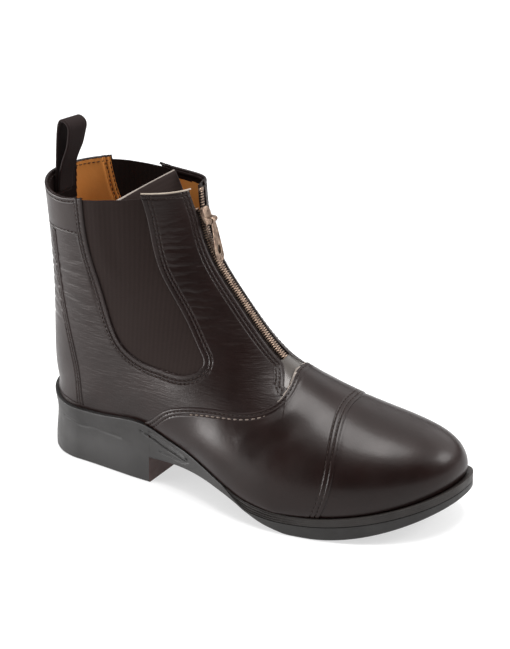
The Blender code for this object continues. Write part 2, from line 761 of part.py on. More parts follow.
SLIDER_LONG, SLIDER_WIDE, SLIDER_LOW, SLIDER_HIGH = 12.0, 8.6, 0.7, 3.0
PIN_OUT, PIN_DOWN, PIN_RADIUS = 5.4, 3.0, 0.8
LUG_GAP, LUG_THICK = 5.2, 1.3
TAB_LONG, TAB_TOP, TAB_FOOT, TAB_THICK = 27.0, 5.0, 8.0, 1.5


def zip_slider(frame):
    obj = piece("zip_slider", block((SLIDER_LONG, SLIDER_WIDE, SLIDER_HIGH - SLIDER_LOW),
                                    (0, 0, (SLIDER_LOW + SLIDER_HIGH) / 2), 2.0), BRASS)
    for side in (-1, 1):
        middle = side * (LUG_GAP + LUG_THICK) / 2
        high = PIN_OUT + 1.3 - SLIDER_HIGH + 0.6
        lug = block((3.2, LUG_THICK, high), (PIN_DOWN, middle, SLIDER_HIGH - 0.6 + high / 2))
        combine(obj, "UNION", helper(f"slider_lug_{side}", lug))
    combine(obj, "UNION", helper("slider_pin", rod(PIN_RADIUS, LUG_GAP + 1.0, (PIN_DOWN, 0, PIN_OUT))))
    obj.matrix_world = frame
    obj.parent = ROOT
    return obj


def tab_outline():
    """The pull tab's flat outline from its knuckle to its round foot, in x along the tab and y across."""
    points = [(1.2, -TAB_TOP / 2 + 0.4), (TAB_LONG - 4, -TAB_FOOT / 2)]
    for i in range(1, 8):
        a = -math.pi / 2 + i * math.pi / 8
        points.append((TAB_LONG - 4 + 4 * math.cos(a), TAB_FOOT / 2 * math.sin(a)))
    points += [(TAB_LONG - 4, TAB_FOOT / 2), (1.2, TAB_TOP / 2 - 0.4)]
    return points


def zip_pull(frame):
    """The swinging tab, with its origin on the hinge's axis."""
    work = bmesh.new()
    face = work.faces.new([work.verts.new(Vector((x, y, -TAB_THICK / 2)) * MM) for x, y in tab_outline()])
    risen = bmesh.ops.extrude_face_region(work, geom=[face])
    moved = [v for v in risen["geom"] if isinstance(v, bmesh.types.BMVert)]
    bmesh.ops.translate(work, vec=Vector((0, 0, TAB_THICK * MM)), verts=moved)
    bmesh.ops.recalc_face_normals(work, faces=work.faces)
    obj = piece("zip_pull", work, BRASS)
    combine(obj, "UNION", helper("pull_knuckle", rod(2.0, LUG_GAP - 0.8, (0, 0, 0))))
    combine(obj, "DIFFERENCE", helper("pull_bore", rod(PIN_RADIUS + 0.35, 12, (0, 0, 0))))
    slot = rod(1.5, 6, (0, 0, 0))
    bmesh.ops.rotate(slot, verts=slot.verts, cent=(0, 0, 0), matrix=Matrix.Rotation(math.pi / 2, 3, "X"))
    bmesh.ops.scale(slot, vec=(2.0, 1.0, 1.0), verts=slot.verts)
    bmesh.ops.translate(slot, vec=Vector((TAB_LONG - 8, 0, 0)) * MM, verts=slot.verts)
    combine(obj, "DIFFERENCE", helper("pull_slot", slot))
    obj.matrix_world = frame @ Matrix.Translation(Vector((PIN_DOWN, 0, PIN_OUT)) * MM)
    obj.parent = ROOT
    return obj


# The zip guard: for each row, its middle and where its two edges lie along the walls
TONGUE = table(
    "mid_x mid_z lateral_x lateral_z medial_x medial_z",
    (163, 82, 150, 70, 150, 70),
    (148, 96, 132, 82, 132, 82),
    (130, 113, 112, 96, 112, 98),
    (108, 134, 92, 118, 92, 120),
    (86, 158, 76, 148, 75, 150),
    (60, 184, 60, 184, 60, 184))
TONGUE_CLEAR = 6.0
TONGUE_THICK = 1.5


def tongue():
    grid = []
    rows = np.linspace(0, len(TONGUE["mid_x"]) - 1, 13)
    numbers = np.arange(len(TONGUE["mid_x"]))
    col = {name: spline(numbers, values, rows) for name, values in TONGUE.items()}
    for i in range(len(rows)):
        ends = {}
        for side, sign in (("lateral", 1), ("medial", -1)):
            s, h = locate(col[side + "_x"][i], col[side + "_z"][i])
            ends[side] = on_last(s, h, side) + np.array([0, sign * TONGUE_CLEAR, 0])
        a, b = ends["lateral"], ends["medial"]
        middle = np.array([col["mid_x"][i], (a[1] + b[1]) / 2, col["mid_z"][i]])
        c = np.linspace(0, 1, 11)[:, None]
        bulge = middle - (a + b) / 2
        grid.append(a + (b - a) * c + bulge * 4 * c * (1 - c))
    sheet = Sheet()
    sheet.add(np.array(grid))
    return shell("tongue", sheet, 0, TONGUE_THICK, GUARD)


LOOP_WIDE, LOOP_THICK, LOOP_Y = 15.0, 1.8, -3.25
# The webbing's middle from the outer leg's foot over the top to the inner leg's, with how much it leans across
LOOP = table(
    "x z skew",
    (10.9, 166, 0.11), (10.9, 180, 0.11), (10.5, 189.5, 0.11), (9.6, 197, 0.12), (9.2, 206, 0.14), (10.2, 214, 0.18),
    (13.6, 218.6, 0.25), (17.0, 216.8, 0.25), (17.5, 210.5, 0.18), (16.4, 203, 0.10), (14.4, 197, 0.05),
    (13.4, 190, 0.08), (13.3, 180, 0.11), (13.3, 166, 0.11))


def pull_loop():
    path = along(np.stack([LOOP["x"], LOOP["z"], 40 * LOOP["skew"]], -1), 34)
    skew, path = path[:, 2] / 40, path[:, :2]
    slope = np.gradient(path, axis=0)
    slope /= np.linalg.norm(slope, axis=1, keepdims=True)
    normal = np.stack([-slope[:, 1], slope[:, 0]], -1)
    across = np.linspace(-LOOP_WIDE / 2, LOOP_WIDE / 2, 4)
    rings = []
    for p, n, lean in zip(path, normal, skew):
        ring = []
        for offset, order in ((LOOP_THICK / 2, 1), (-LOOP_THICK / 2, -1)):
            q = p + n * offset
            ring += [(q[0] + lean * v, LOOP_Y + v, q[1]) for v in across[::order]]
        rings.append(ring)
    return loft("pull_loop", rings, WEBBING)


def centre_on_floor():
    """Moves the whole boot so that its box stands on z = 0, centred on x and y."""
    bpy.context.view_layer.update()
    graph = bpy.context.evaluated_depsgraph_get()
    corners = []
    for obj in bpy.data.objects:
        if obj.type == "MESH" and not obj.hide_render:
            shape = obj.evaluated_get(graph)
            corners += [shape.matrix_world @ v.co for v in shape.data.vertices]
    corners = np.array(corners)
    low, high = corners.min(axis=0), corners.max(axis=0)
    ROOT.location = (-(low[0] + high[0]) / 2, -(low[1] + high[1]) / 2, -low[2])


outsole()
welt()
insole()
upper()
toe_cap()
vamp()
backstay()
collar_band()
for name, flipped in SIDES:
    gore(name, flipped)
    zip_tape(name)
zip_stop()
tongue()
SLIDER_FRAME = zip_frame(SLIDER_ROW)
zip_slider(SLIDER_FRAME)
zip_pull(SLIDER_FRAME)
pull_loop()
centre_on_floor()
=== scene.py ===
"""Looks of the right jodhpur boot: leather panels, gores, zip, lining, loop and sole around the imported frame.

Shapes are worked out in millimetres in the boot's own sizes: x from the heel's back to the toe, y to the
medial side and z up from the floor. place() moves them into the frame, in metres.
"""

import math

import bmesh
import bpy
import numpy as np
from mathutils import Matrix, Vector
from mathutils.kdtree import KDTree


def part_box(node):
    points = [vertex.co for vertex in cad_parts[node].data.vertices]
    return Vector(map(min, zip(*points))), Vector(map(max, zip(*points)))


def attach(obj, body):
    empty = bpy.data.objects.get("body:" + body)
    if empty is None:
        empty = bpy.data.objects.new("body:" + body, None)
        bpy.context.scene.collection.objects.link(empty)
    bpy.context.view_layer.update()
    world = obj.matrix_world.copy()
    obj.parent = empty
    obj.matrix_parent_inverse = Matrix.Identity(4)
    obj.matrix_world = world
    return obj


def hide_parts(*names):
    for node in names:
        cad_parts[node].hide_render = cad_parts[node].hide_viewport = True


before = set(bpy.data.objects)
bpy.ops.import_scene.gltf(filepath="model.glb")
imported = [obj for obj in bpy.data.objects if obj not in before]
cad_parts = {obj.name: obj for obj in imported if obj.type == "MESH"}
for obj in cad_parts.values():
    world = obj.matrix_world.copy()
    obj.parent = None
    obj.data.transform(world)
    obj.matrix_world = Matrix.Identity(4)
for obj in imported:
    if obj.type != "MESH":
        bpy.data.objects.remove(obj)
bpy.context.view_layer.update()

MM = 0.001
SIDES = ("lateral", "medial")
SIGN = {"lateral": -1, "medial": 1}


# Helpers

def table(names, *rows):
    """A short table with named columns, as arrays."""
    return {name: np.array(column, float) for name, column in zip(names.split(), zip(*rows))}


def spline(knots, values, at, slopes=None):
    """Cubic spline through the values, natural at its ends or with the two end slopes given."""
    k, f, at = (np.asarray(v, float) for v in (knots, values, at))
    n, gap = len(k), np.diff(k)
    a, r = np.zeros((n, n)), np.zeros(n)
    rise = np.diff(f) / gap
    for i in range(1, n - 1):
        a[i, i - 1:i + 2] = gap[i - 1], 2 * (gap[i - 1] + gap[i]), gap[i]
        r[i] = 6 * (rise[i] - rise[i - 1])
    a[0, 0] = a[-1, -1] = 1
    if slopes is not None:
        a[0, :2], r[0] = (2 * gap[0], gap[0]), 6 * (rise[0] - slopes[0])
        a[-1, -2:], r[-1] = (gap[-1], 2 * gap[-1]), 6 * (slopes[1] - rise[-1])
    m = np.linalg.solve(a, r)
    i = np.clip(np.searchsorted(k, at, side="right") - 1, 0, n - 2)
    t, u, w = at - k[i], k[i + 1] - at, gap[i]
    ends = (f[i] / w - m[i] * w / 6) * u + (f[i + 1] / w - m[i + 1] * w / 6) * t
    return (m[i] * u**3 + m[i + 1] * t**3) / (6 * w) + ends


def lengths(points):
    """Distance along a polyline at each of its points."""
    return np.r_[0, np.cumsum(np.linalg.norm(np.diff(points, axis=0), axis=1))]


def at_lengths(points, where):
    d = lengths(points)
    return np.stack([np.interp(where, d, points[:, k]) for k in range(points.shape[1])], -1)


def curve(points, count=400):
    """A smooth curve through a few points, as many evenly spaced ones."""
    p = np.array(points, float)
    d = lengths(p)
    dense = np.linspace(0, d[-1], 3 * count)
    p = np.stack([spline(d, p[:, k], dense) for k in range(p.shape[1])], -1)
    return at_lengths(p, np.linspace(0, lengths(p)[-1], count))


# Close steps beside a cut edge and its stitches, and the largest share of a line that they take up
EDGE = np.r_[0, 0.1, 0.25, 0.45, np.arange(0.7, 6.8, 0.35)]
EDGE_SHARE = 0.45


def ladder(length, count, head=False, tail=False):
    """Distances along a line of that length, close together at an end that is a cut edge."""
    a = EDGE if head else np.zeros(1)
    b = EDGE if tail else np.zeros(1)
    share = min(1.0, EDGE_SHARE * length / max(a[-1] + b[-1], 1e-6))
    middle = np.linspace(a[-1] * share, length - b[-1] * share, count - len(a) - len(b) + 2)
    return np.r_[a[:-1] * share, middle, length - b[:-1][::-1] * share]


def stepped(points, count, head=False, tail=False):
    return at_lengths(points, ladder(lengths(points)[-1], count, head, tail))


def smooth(t):
    t = np.clip(t, 0, 1)
    return t * t * (3 - 2 * t)


# Driving sizes of the last and the sole

SOLE_LENGTH = 286.0
HEEL_ARC = 33.0
BALL_X = 192.0
SWING_X, SWING, SWING_CURVE = 145.0, 20.0, 1.4
SIDE_MARGIN, HEEL_MARGIN, TOE_MARGIN = 2.0, 2.5, 4.5
TOE_ROUND = {"lateral": 2.25, "medial": 2.1}
SOLE_ROUND = {"lateral": 0.0, "medial": 0.2}   # how much squarer the sole's edge is than the feather line
TOE_SPRING = 17.0
TREAD_SPRING, TREAD_CURVE = 21.5, 1.8
BALL_FEATHER = 13.5
BREAST_X, BREAST_HIGH = 90.0, 17.2
FLAT_FROM, FLAT_TO = 200.0, 212.0

# Slopes at both ends of the feather line, of the waist and of the sections' foot line
FEATHER_SLOPES, WAIST_SLOPES, FOOT_SLOPES = (-0.15, 0), (0.08, 0), (-8, 0)

PLAN = table(
    "x lateral medial",
    (HEEL_ARC, 34.0, 34.0),
    (75, 36.0, 33.0),
    (115, 38.0, 31.5),
    (150, 47.6, 39.0),
    (BALL_X, 54.0, 47.5))

FEATHER = table(
    "x z",
    (0, 42.5), (12, 39.5), (25, 37.6), (40, 37.3), (55, 38.4), (68, 40.3), (80, 41.2), (91, 39.7),
    (105, 35.0), (120, 31.3), (135, 27.0), (150, 22.2), (163, 17.4), (177, 14.7), (BALL_X, BALL_FEATHER))

WAIST = table(
    "x z",
    (BREAST_X, BREAST_HIGH), (105, 18.2), (121, 18.5), (135, 18.0), (149, 16.0), (162, 12.0), (172, 7.6),
    (182, 3.7), (192, 1.2), (FLAT_FROM, 0))

TOE_X = SOLE_LENGTH - TOE_MARGIN
SECTIONS = table(
    "top_x top_z base_x base_z lateral medial widest round_lateral round_medial round_base turn",
    (TOE_X, 30.5, BALL_X, 0, 52.0, 45.5, 0.00, 2.25, 2.10, 2.0, 0),
    (283.0, 38.5, 184, 0, 53.5, 46.5, 0.08, 2.25, 2.10, 2.0, 0),
    (278.5, 49.0, 175, 0, 54.0, 47.0, 0.14, 2.25, 2.10, 2.0, 0),
    (266.0, 57.5, 165, 0, 53.5, 46.5, 0.20, 2.20, 2.10, 2.0, 0),
    (246.5, 63.5, 154, 0, 52.0, 45.0, 0.25, 2.15, 2.10, 2.0, 0),
    (225.0, 69.0, 142, 0, 49.5, 43.5, 0.28, 2.10, 2.05, 2.0, 0),
    (203.0, 76.0, 131, 0, 47.0, 42.0, 0.28, 2.00, 2.00, 2.0, 0),
    (184.5, 83.5, 119, 0, 44.0, 40.5, 0.28, 1.95, 1.95, 2.0, 0),
    (170.0, 91.5, 106, 0, 41.0, 39.0, 0.28, 1.90, 1.90, 2.0, 0),
    (159.0, 101.5, 88, 0, 39.0, 37.5, 0.30, 1.85, 1.85, 2.0, 0),
    (149.0, 113.0, 66, 0, 37.5, 36.5, 0.33, 1.85, 1.85, 2.0, 0),
    (138.0, 126.0, 33, 0, 36.0, 35.5, 0.40, 1.90, 1.90, 2.1, 0),
    (127.5, 138.5, 11, 0, 35.5, 35.0, 0.45, 1.95, 1.95, 2.1, 0),
    (119.3, 149.5, HEEL_MARGIN, 43, 35.2, 34.8, 0.47, 2.00, 2.00, 2.1, 0.5),
    (112.5, 161.5, 1.5, 62, 34.8, 34.5, 0.48, 2.05, 2.05, 2.1, 2),
    (107.0, 175.0, 4.5, 105, 35.0, 35.0, 0.48, 2.10, 2.10, 2.15, 4),
    (103.5, 185.0, 5.5, 145, 36.0, 36.5, 0.48, 2.15, 2.15, 2.2, 6),
    (100.5, 196.0, 5.0, 182, 37.5, 38.5, 0.48, 2.20, 2.20, 2.25, 8),
    (98.5, 207.0, 4.0, 200, 38.5, 40.0, 0.48, 2.20, 2.20, 2.25, 9.5))
HEEL_ROW = 13                  # the section whose foot is the heel's back
SAG_ROWS = 4                   # the sections over which the toe spring's sag fades out
LAST_ROW = len(SECTIONS["top_x"]) - 1


# Plan and feather line

def centre_y(x):
    """The centre line: straight from the heel, then swinging to the medial side."""
    t = np.clip((np.asarray(x, float) - SWING_X) / (SOLE_LENGTH - SWING_X), 0, 1)
    return SWING * t**SWING_CURVE


def half_width(x, side, drawn_in=0.0, inset=0.0):
    """Half width of the plan at x: drawn_in 0 is the sole's edge, 1 the feather line."""
    x = np.asarray(x, float)
    back = drawn_in * HEEL_MARGIN + inset
    tip = SOLE_LENGTH - drawn_in * TOE_MARGIN - inset
    width = spline(PLAN["x"], PLAN[side], np.clip(x, HEEL_ARC, BALL_X), (0, 0))
    width = width - drawn_in * SIDE_MARGIN - inset
    a = np.clip((HEEL_ARC - x) / (HEEL_ARC - back), 0, 1)
    b = np.clip((x - BALL_X) / (tip - BALL_X), 0, 1)
    n = TOE_ROUND[side] + SOLE_ROUND[side] * (1 - drawn_in)
    return width * np.sqrt(1 - a**2) * (1 - b**n) ** (1 / n)


def feather_z(x):
    x = np.asarray(x, float)
    t = np.clip((x - BALL_X) / (TOE_X - BALL_X), 0, 1.1)
    level = spline(FEATHER["x"], FEATHER["z"], np.minimum(x, BALL_X), FEATHER_SLOPES)
    return level + TOE_SPRING * t**2


def floor_z(x):
    """The sole's underside: flat heel, arched waist, flat spot under the ball, then the toe spring."""
    x = np.asarray(x, float)
    waist = spline(WAIST["x"], WAIST["z"], np.clip(x, BREAST_X, FLAT_FROM), WAIST_SLOPES)
    waist = np.where((x < BREAST_X) | (x > FLAT_FROM), 0, np.maximum(waist, 0))
    toe = np.clip((x - FLAT_TO) / (SOLE_LENGTH - FLAT_TO), 0, 1)
    return waist + TREAD_SPRING * toe**TREAD_CURVE


# The last's surface, from the sections

HEEL_Z = float(feather_z(HEEL_MARGIN))
ROWS = np.linspace(0, LAST_ROW, 200 * LAST_ROW + 1)
HALVINGS = 44
LINE_STEPS = 121


def section_columns():
    numbers = np.arange(LAST_ROW + 1)
    col = {name: spline(numbers, values, ROWS) for name, values in SECTIONS.items()}
    low_rows = np.minimum(ROWS, HEEL_ROW)
    low = spline(numbers[:HEEL_ROW + 1], SECTIONS["base_x"][:HEEL_ROW + 1], low_rows, FOOT_SLOPES)
    low = np.clip(low, HEEL_MARGIN, BALL_X)
    up_rows = np.maximum(ROWS, HEEL_ROW)
    up_x = spline(numbers[HEEL_ROW:], SECTIONS["base_x"][HEEL_ROW:], up_rows)
    up_z = spline(numbers[HEEL_ROW:], np.r_[HEEL_Z, SECTIONS["base_z"][HEEL_ROW + 1:]], up_rows)
    on_feather = ROWS <= HEEL_ROW
    col["base_x"] = np.where(on_feather, low, up_x)
    col["base_z"] = np.where(on_feather, feather_z(low), up_z)
    col["sag"] = TOE_SPRING * np.clip(1 - ROWS / SAG_ROWS, 0, 1) ** 2
    for side in SIDES:
        at_base = np.where(on_feather, half_width(low, side, 1.0), 0)
        col["base_" + side] = at_base
        col[side] = np.maximum(col[side], at_base)
    col["widest"] = np.maximum(col["widest"], 0)
    return col


COLUMNS = section_columns()


def look(name, s):
    return np.interp(s, ROWS, COLUMNS[name])


def locate(x, z):
    """Section number s and height fraction h of the side view's points, found by halving."""
    x, z = np.asarray(x, float), np.asarray(z, float)
    low, high = np.zeros_like(x), np.full_like(x, LAST_ROW)
    for _ in range(HALVINGS):
        s = (low + high) / 2
        bx = look("base_x", s)
        h = (x - bx) / (look("top_x", s) - bx)
        row_z = look("base_z", s) * (1 - h) + look("top_z", s) * h - look("sag", s) * h * (1 - h)
        low, high = np.where(row_z < z, s, low), np.where(row_z < z, high, s)
    bx = look("base_x", s)
    return s, np.clip((x - bx) / (look("top_x", s) - bx), 0, 1)


def half_section(s, h, side):
    """Half width of section s at height fraction h: superellipse quarters above and below the widest."""
    wide, base = look(side, s), look("base_" + side, s)
    hm, n, m = look("widest", s), look("round_" + side, s), look("round_base", s)
    above = np.clip((h - hm) / (1 - hm), 0, 1)
    reach = hm / np.maximum(1 - (base / wide) ** m, 1e-4) ** (1 / m)
    below = np.clip((hm - h) / np.maximum(reach, 1e-6), 0, 1)
    return wide * np.where(h >= hm, (1 - above**n) ** (1 / n), (1 - below**m) ** (1 / m))


def on_last(s, h, side):
    """Point of the last at section s and height fraction h."""
    bx, bz = look("base_x", s), look("base_z", s)
    x = bx + h * (look("top_x", s) - bx)
    z = bz + h * (look("top_z", s) - bz) - look("sag", s) * h * (1 - h)
    y = SIGN[side] * half_section(s, h, side) + centre_y(x) + look("turn", s) * (2 * h - 1)
    return np.stack([x, y, z], -1)


def from_ridge(s, distance, side):
    """Height fraction at which section s is that far from its ridge, across."""
    part = np.clip(distance / look(side, s), 0, 1)
    n, hm = look("round_" + side, s), look("widest", s)
    return hm + (1 - hm) * (1 - part**n) ** (1 / n)


def ridge(s):
    return np.stack([look("top_x", s), look("top_z", s)], -1)


def feather(x):
    return np.stack([np.asarray(x, float), feather_z(x)], -1)


def ridge_row(x):
    """Section number whose top is at x, behind the toe's front."""
    rows = ROWS[ROWS > 1]
    return np.interp(-np.asarray(x, float), -np.interp(rows, ROWS, COLUMNS["top_x"]), rows)


def back_seam(z):
    rows = ROWS[ROWS >= HEEL_ROW]
    s = np.interp(z, np.interp(rows, ROWS, COLUMNS["base_z"]), rows)
    return np.stack([look("base_x", s), look("base_z", s)], -1)


def on_side(xz, side):
    """Points of the last from points of the side view."""
    xz = np.asarray(xz, float)
    return on_last(*locate(xz[..., 0], xz[..., 1]), side)


def lines(start, end, side, count, head=False, tail=False, bow=None, sag=None):
    """Lines over the last from one side-view curve to another, close-stepped at a cut edge.

    bow moves the middle of each line forward and sag moves it down.
    """
    t = smooth(np.linspace(0, 1, LINE_STEPS))
    path = start[:, None] + (end - start)[:, None] * t[None, :, None]
    if bow is not None:
        path[..., 0] += bow[:, None] * 4 * t * (1 - t)
    if sag is not None:
        path[..., 1] -= sag[:, None] * 4 * t * (1 - t)
    points = on_side(path.reshape(-1, 2), side).reshape(*path.shape[:2], 3)
    return np.array([stepped(p, count, head, tail) for p in points])


# Seams of the pattern, drawn on the side view in x and z

CAP_TOP = 215.0
CAP_FOOT = {"lateral": 218.5, "medial": 196.0}   # the cap's seam slants back on the medial side
CAP_BOW = {"lateral": 8.0, "medial": -12.0}
VAMP_TOP, VAMP_FOOT = 176.5, 86.0
VAMP_EDGE = {
    "lateral": ((178, 85.6), (179.2, 81.5), (178.6, 76.9), (174.3, 72.5), (164.9, 68.7), (147, 66.5),
                (120, 62.5), (104, 55.5), (92, 45)),
    "medial": ((175, 85.8), (173, 82), (170.5, 77), (166, 72.5), (158, 69), (144, 66.5), (120, 62.5),
               (104, 55.5), (92, 45))}
GORE_FOOT = (82, 84), (100, 81.5)
GORE_REAR = {
    "lateral": ((46, 186), (47, 162), (51, 141), (57, 121), (63, 103), (71, 90.5), *GORE_FOOT),
    "medial": ((22.8, 189), (28, 164), (37, 143), (48, 122), (58, 104), (68, 91.5), *GORE_FOOT)}
GORE_FRONT = {
    "lateral": ((81, 191), (84, 180), (88, 161), (94, 142), (103, 128), (114, 112), (124, 97), (127.5, 90),
                (122, 84), GORE_FOOT[-1]),
    "medial": ((52.5, 186.5), (57, 178), (67, 162), (79, 144), (93, 128), (108, 112), (122, 97), (127.5, 90),
               (122, 84), GORE_FOOT[-1])}
BACKSTAY_EDGE = ((38, 40), (34, 70), (28, 96), (23, 122), (21, 157.2))
BAND_LOW_BACK = 158.0
BAND_END = {"lateral": ((41.4, 185.6), (42, 159)), "medial": ((18.3, 188.4), (24.3, 159))}
COLLAR_BACK = 188.5
COLLAR_SAG = {"lateral": (0.0, 3.5), "medial": (2.5, 0.0)}   # dip of the front and back collar edges
SLIDER_ROW = 14.8
COLLAR_ROW = 16.5
SLIT = {"lateral": 5.0, "medial": 7.0}           # half the slit's width where the zip is closed
OPENING = {"lateral": 3.5, "medial": 2.5}        # how much wider it is at the collar
THROAT = {"lateral": 10.0, "medial": 7.0}        # how much wider it is at the throat, below the zip
THROAT_FROM, THROAT_TO = 8.03, 7.35
OPENING_CURVE, THROAT_CURVE = 1.3, 1.2


def opening(s, side):
    """How far a side of the zip has opened above the slider."""
    t = np.clip((s - SLIDER_ROW) / (COLLAR_ROW - SLIDER_ROW), 0, 1)
    return OPENING[side] * t**OPENING_CURVE


def slit_half(s, side):
    """Half the slit's width: it opens out above the slider and at the throat."""
    low = np.clip((THROAT_FROM - s) / (THROAT_FROM - THROAT_TO), 0, 1.2)
    return SLIT[side] + opening(s, side) + THROAT[side] * low**THROAT_CURVE


def slit_edge(s, side):
    return on_last(s, from_ridge(s, slit_half(s, side), side), side)[..., [0, 2]]


def vamp_edge(side, count=300):
    """The vamp's back edge from the ridge down to the feather line."""
    return curve([ridge(float(ridge_row(VAMP_TOP))), *VAMP_EDGE[side], feather(VAMP_FOOT)], count)


def cap_seam(side, count=200):
    """The seam of the toe cap from the feather line to the ridge."""
    t = np.linspace(0, 1, count)
    foot, top = feather(CAP_FOOT[side]), ridge(float(ridge_row(CAP_TOP)))
    path = foot + (top - foot) * t[:, None]
    path[:, 0] += CAP_BOW[side] * 4 * t * (1 - t)
    return path


# Meshes

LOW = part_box("outsole")[0]
PLAN_X = np.linspace(0, SOLE_LENGTH, 2000)
PLAN_LOW = (centre_y(PLAN_X) - half_width(PLAN_X, "lateral")).min()
SHIFT = np.array([LOW.x / MM, LOW.y / MM - PLAN_LOW, LOW.z / MM])
WELD_DIGITS = 2                # points that agree to this many digits are made one
SEAM_STEP = 0.2                # how densely a seam is stepped where distances from it are measured
ROW_POINTS, ROW_LONG = 8, 6.0  # a line across a panel needs more points and length than this


def place(points):
    """Points in millimetres moved into the frame, in metres."""
    return (np.asarray(points, float) + SHIFT) * MM


def unit(vectors):
    return vectors / np.maximum(np.linalg.norm(vectors, axis=-1, keepdims=True), 1e-9)


def weld(grids):
    """Points and four-cornered faces of some grids, coincident points made one.

    A face with two coincident corners keeps both, so that it is a triangle that repeats one.
    """
    points, quads, start = [], [], 0
    for grid, turned in grids:
        n, m = grid.shape[:2]
        ids = start + np.arange(n * m).reshape(n, m)
        square = np.stack([ids[:-1, :-1], ids[1:, :-1], ids[1:, 1:], ids[:-1, 1:]], -1).reshape(-1, 4)
        quads.append(square[:, ::-1] if turned else square)
        points.append(grid.reshape(-1, 3))
        start += n * m
    points, quads = np.concatenate(points), np.concatenate(quads)
    digits = np.round(points, WELD_DIGITS)
    _, first, back = np.unique(digits, axis=0, return_index=True, return_inverse=True)
    quads = back.reshape(-1)[quads]
    shared = (quads == np.roll(quads, -1, axis=1)).sum(axis=1)
    crossed = (quads[:, 0] == quads[:, 2]) | (quads[:, 1] == quads[:, 3])
    return points[first], quads[(shared < 2) & ~crossed]


def normals_of(points, quads):
    area = np.cross(points[quads[:, 2]] - points[quads[:, 0]], points[quads[:, 3]] - points[quads[:, 1]])
    total = np.zeros_like(points)
    for k in range(4):
        np.add.at(total, quads[:, k], area)
    return unit(total)


def distances(points, polylines):
    """Each point's distance from the nearest of some polylines."""
    dense = np.concatenate([at_lengths(p, np.arange(0, lengths(p)[-1], SEAM_STEP)) for p in polylines])
    tree = KDTree(len(dense))
    for i, p in enumerate(dense):
        tree.insert(p, i)
    tree.balance()
    return np.array([tree.find(p)[2] for p in points])


def link(name, data):
    """A new object of the scene with that data."""
    obj = bpy.data.objects.new(name, data)
    bpy.context.scene.collection.objects.link(obj)
    return obj


def make(name, points, faces, materials, body="boot", replaces=(), slot=None):
    """A named piece in the frame that rides on a body."""
    mesh = bpy.data.meshes.new(name)
    mesh.from_pydata(place(points).tolist(), [], [list(dict.fromkeys(map(int, f))) for f in faces])
    mesh.update()
    mesh.shade_smooth()
    obj = link(name, mesh)
    for material in materials:
        mesh.materials.append(material)
    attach(obj, body)
    if replaces:
        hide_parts(*replaces)
    return obj


def rings_mesh(rings, closed=False):
    """Points and faces through rings of equal length, with caps at both ends or closed on itself."""
    rings = [np.asarray(ring, float) for ring in rings]
    n, faces = len(rings[0]), []
    for i in range(len(rings) if closed else len(rings) - 1):
        a, b = i * n, ((i + 1) % len(rings)) * n
        for j in range(n):
            k = (j + 1) % n
            faces.append([a + j, a + k, b + k, b + j])
    if not closed:
        faces.append(list(range(n))[::-1])
        faces.append([(len(rings) - 1) * n + j for j in range(n)])
    return np.concatenate(rings), faces


def circle(count):
    """Angles once round."""
    return np.linspace(0, 2 * math.pi, count, endpoint=False)


def tube(path, radius):
    """Points and faces of a round cord along a path."""
    slope = unit(np.gradient(path, axis=0))
    beside = unit(np.cross(slope, (0.0, 0.0, 1.0)))
    above = np.cross(beside, slope)
    turn = circle(8)[:, None]
    rings = [p + radius * (np.cos(turn) * b + np.sin(turn) * a) for p, b, a in zip(path, beside, above)]
    return rings_mesh(rings)


def joined(parts):
    """Several lots of points and faces as one."""
    points, faces, start = [], [], 0
    for p, f in parts:
        points.append(p)
        faces += [[i + start for i in face] for face in f]
        start += len(p)
    return np.concatenate(points), faces


def clean(obj, sharp=None):
    """Merges coincident points, turns faces out and splits the shading at edges sharper than the angle."""
    work = bmesh.new()
    work.from_mesh(obj.data)
    bmesh.ops.remove_doubles(work, verts=work.verts, dist=1e-6)
    bmesh.ops.recalc_face_normals(work, faces=work.faces)
    work.to_mesh(obj.data)
    work.free()
    if sharp:
        obj.data.set_sharp_from_angle(angle=math.radians(sharp))
    return obj


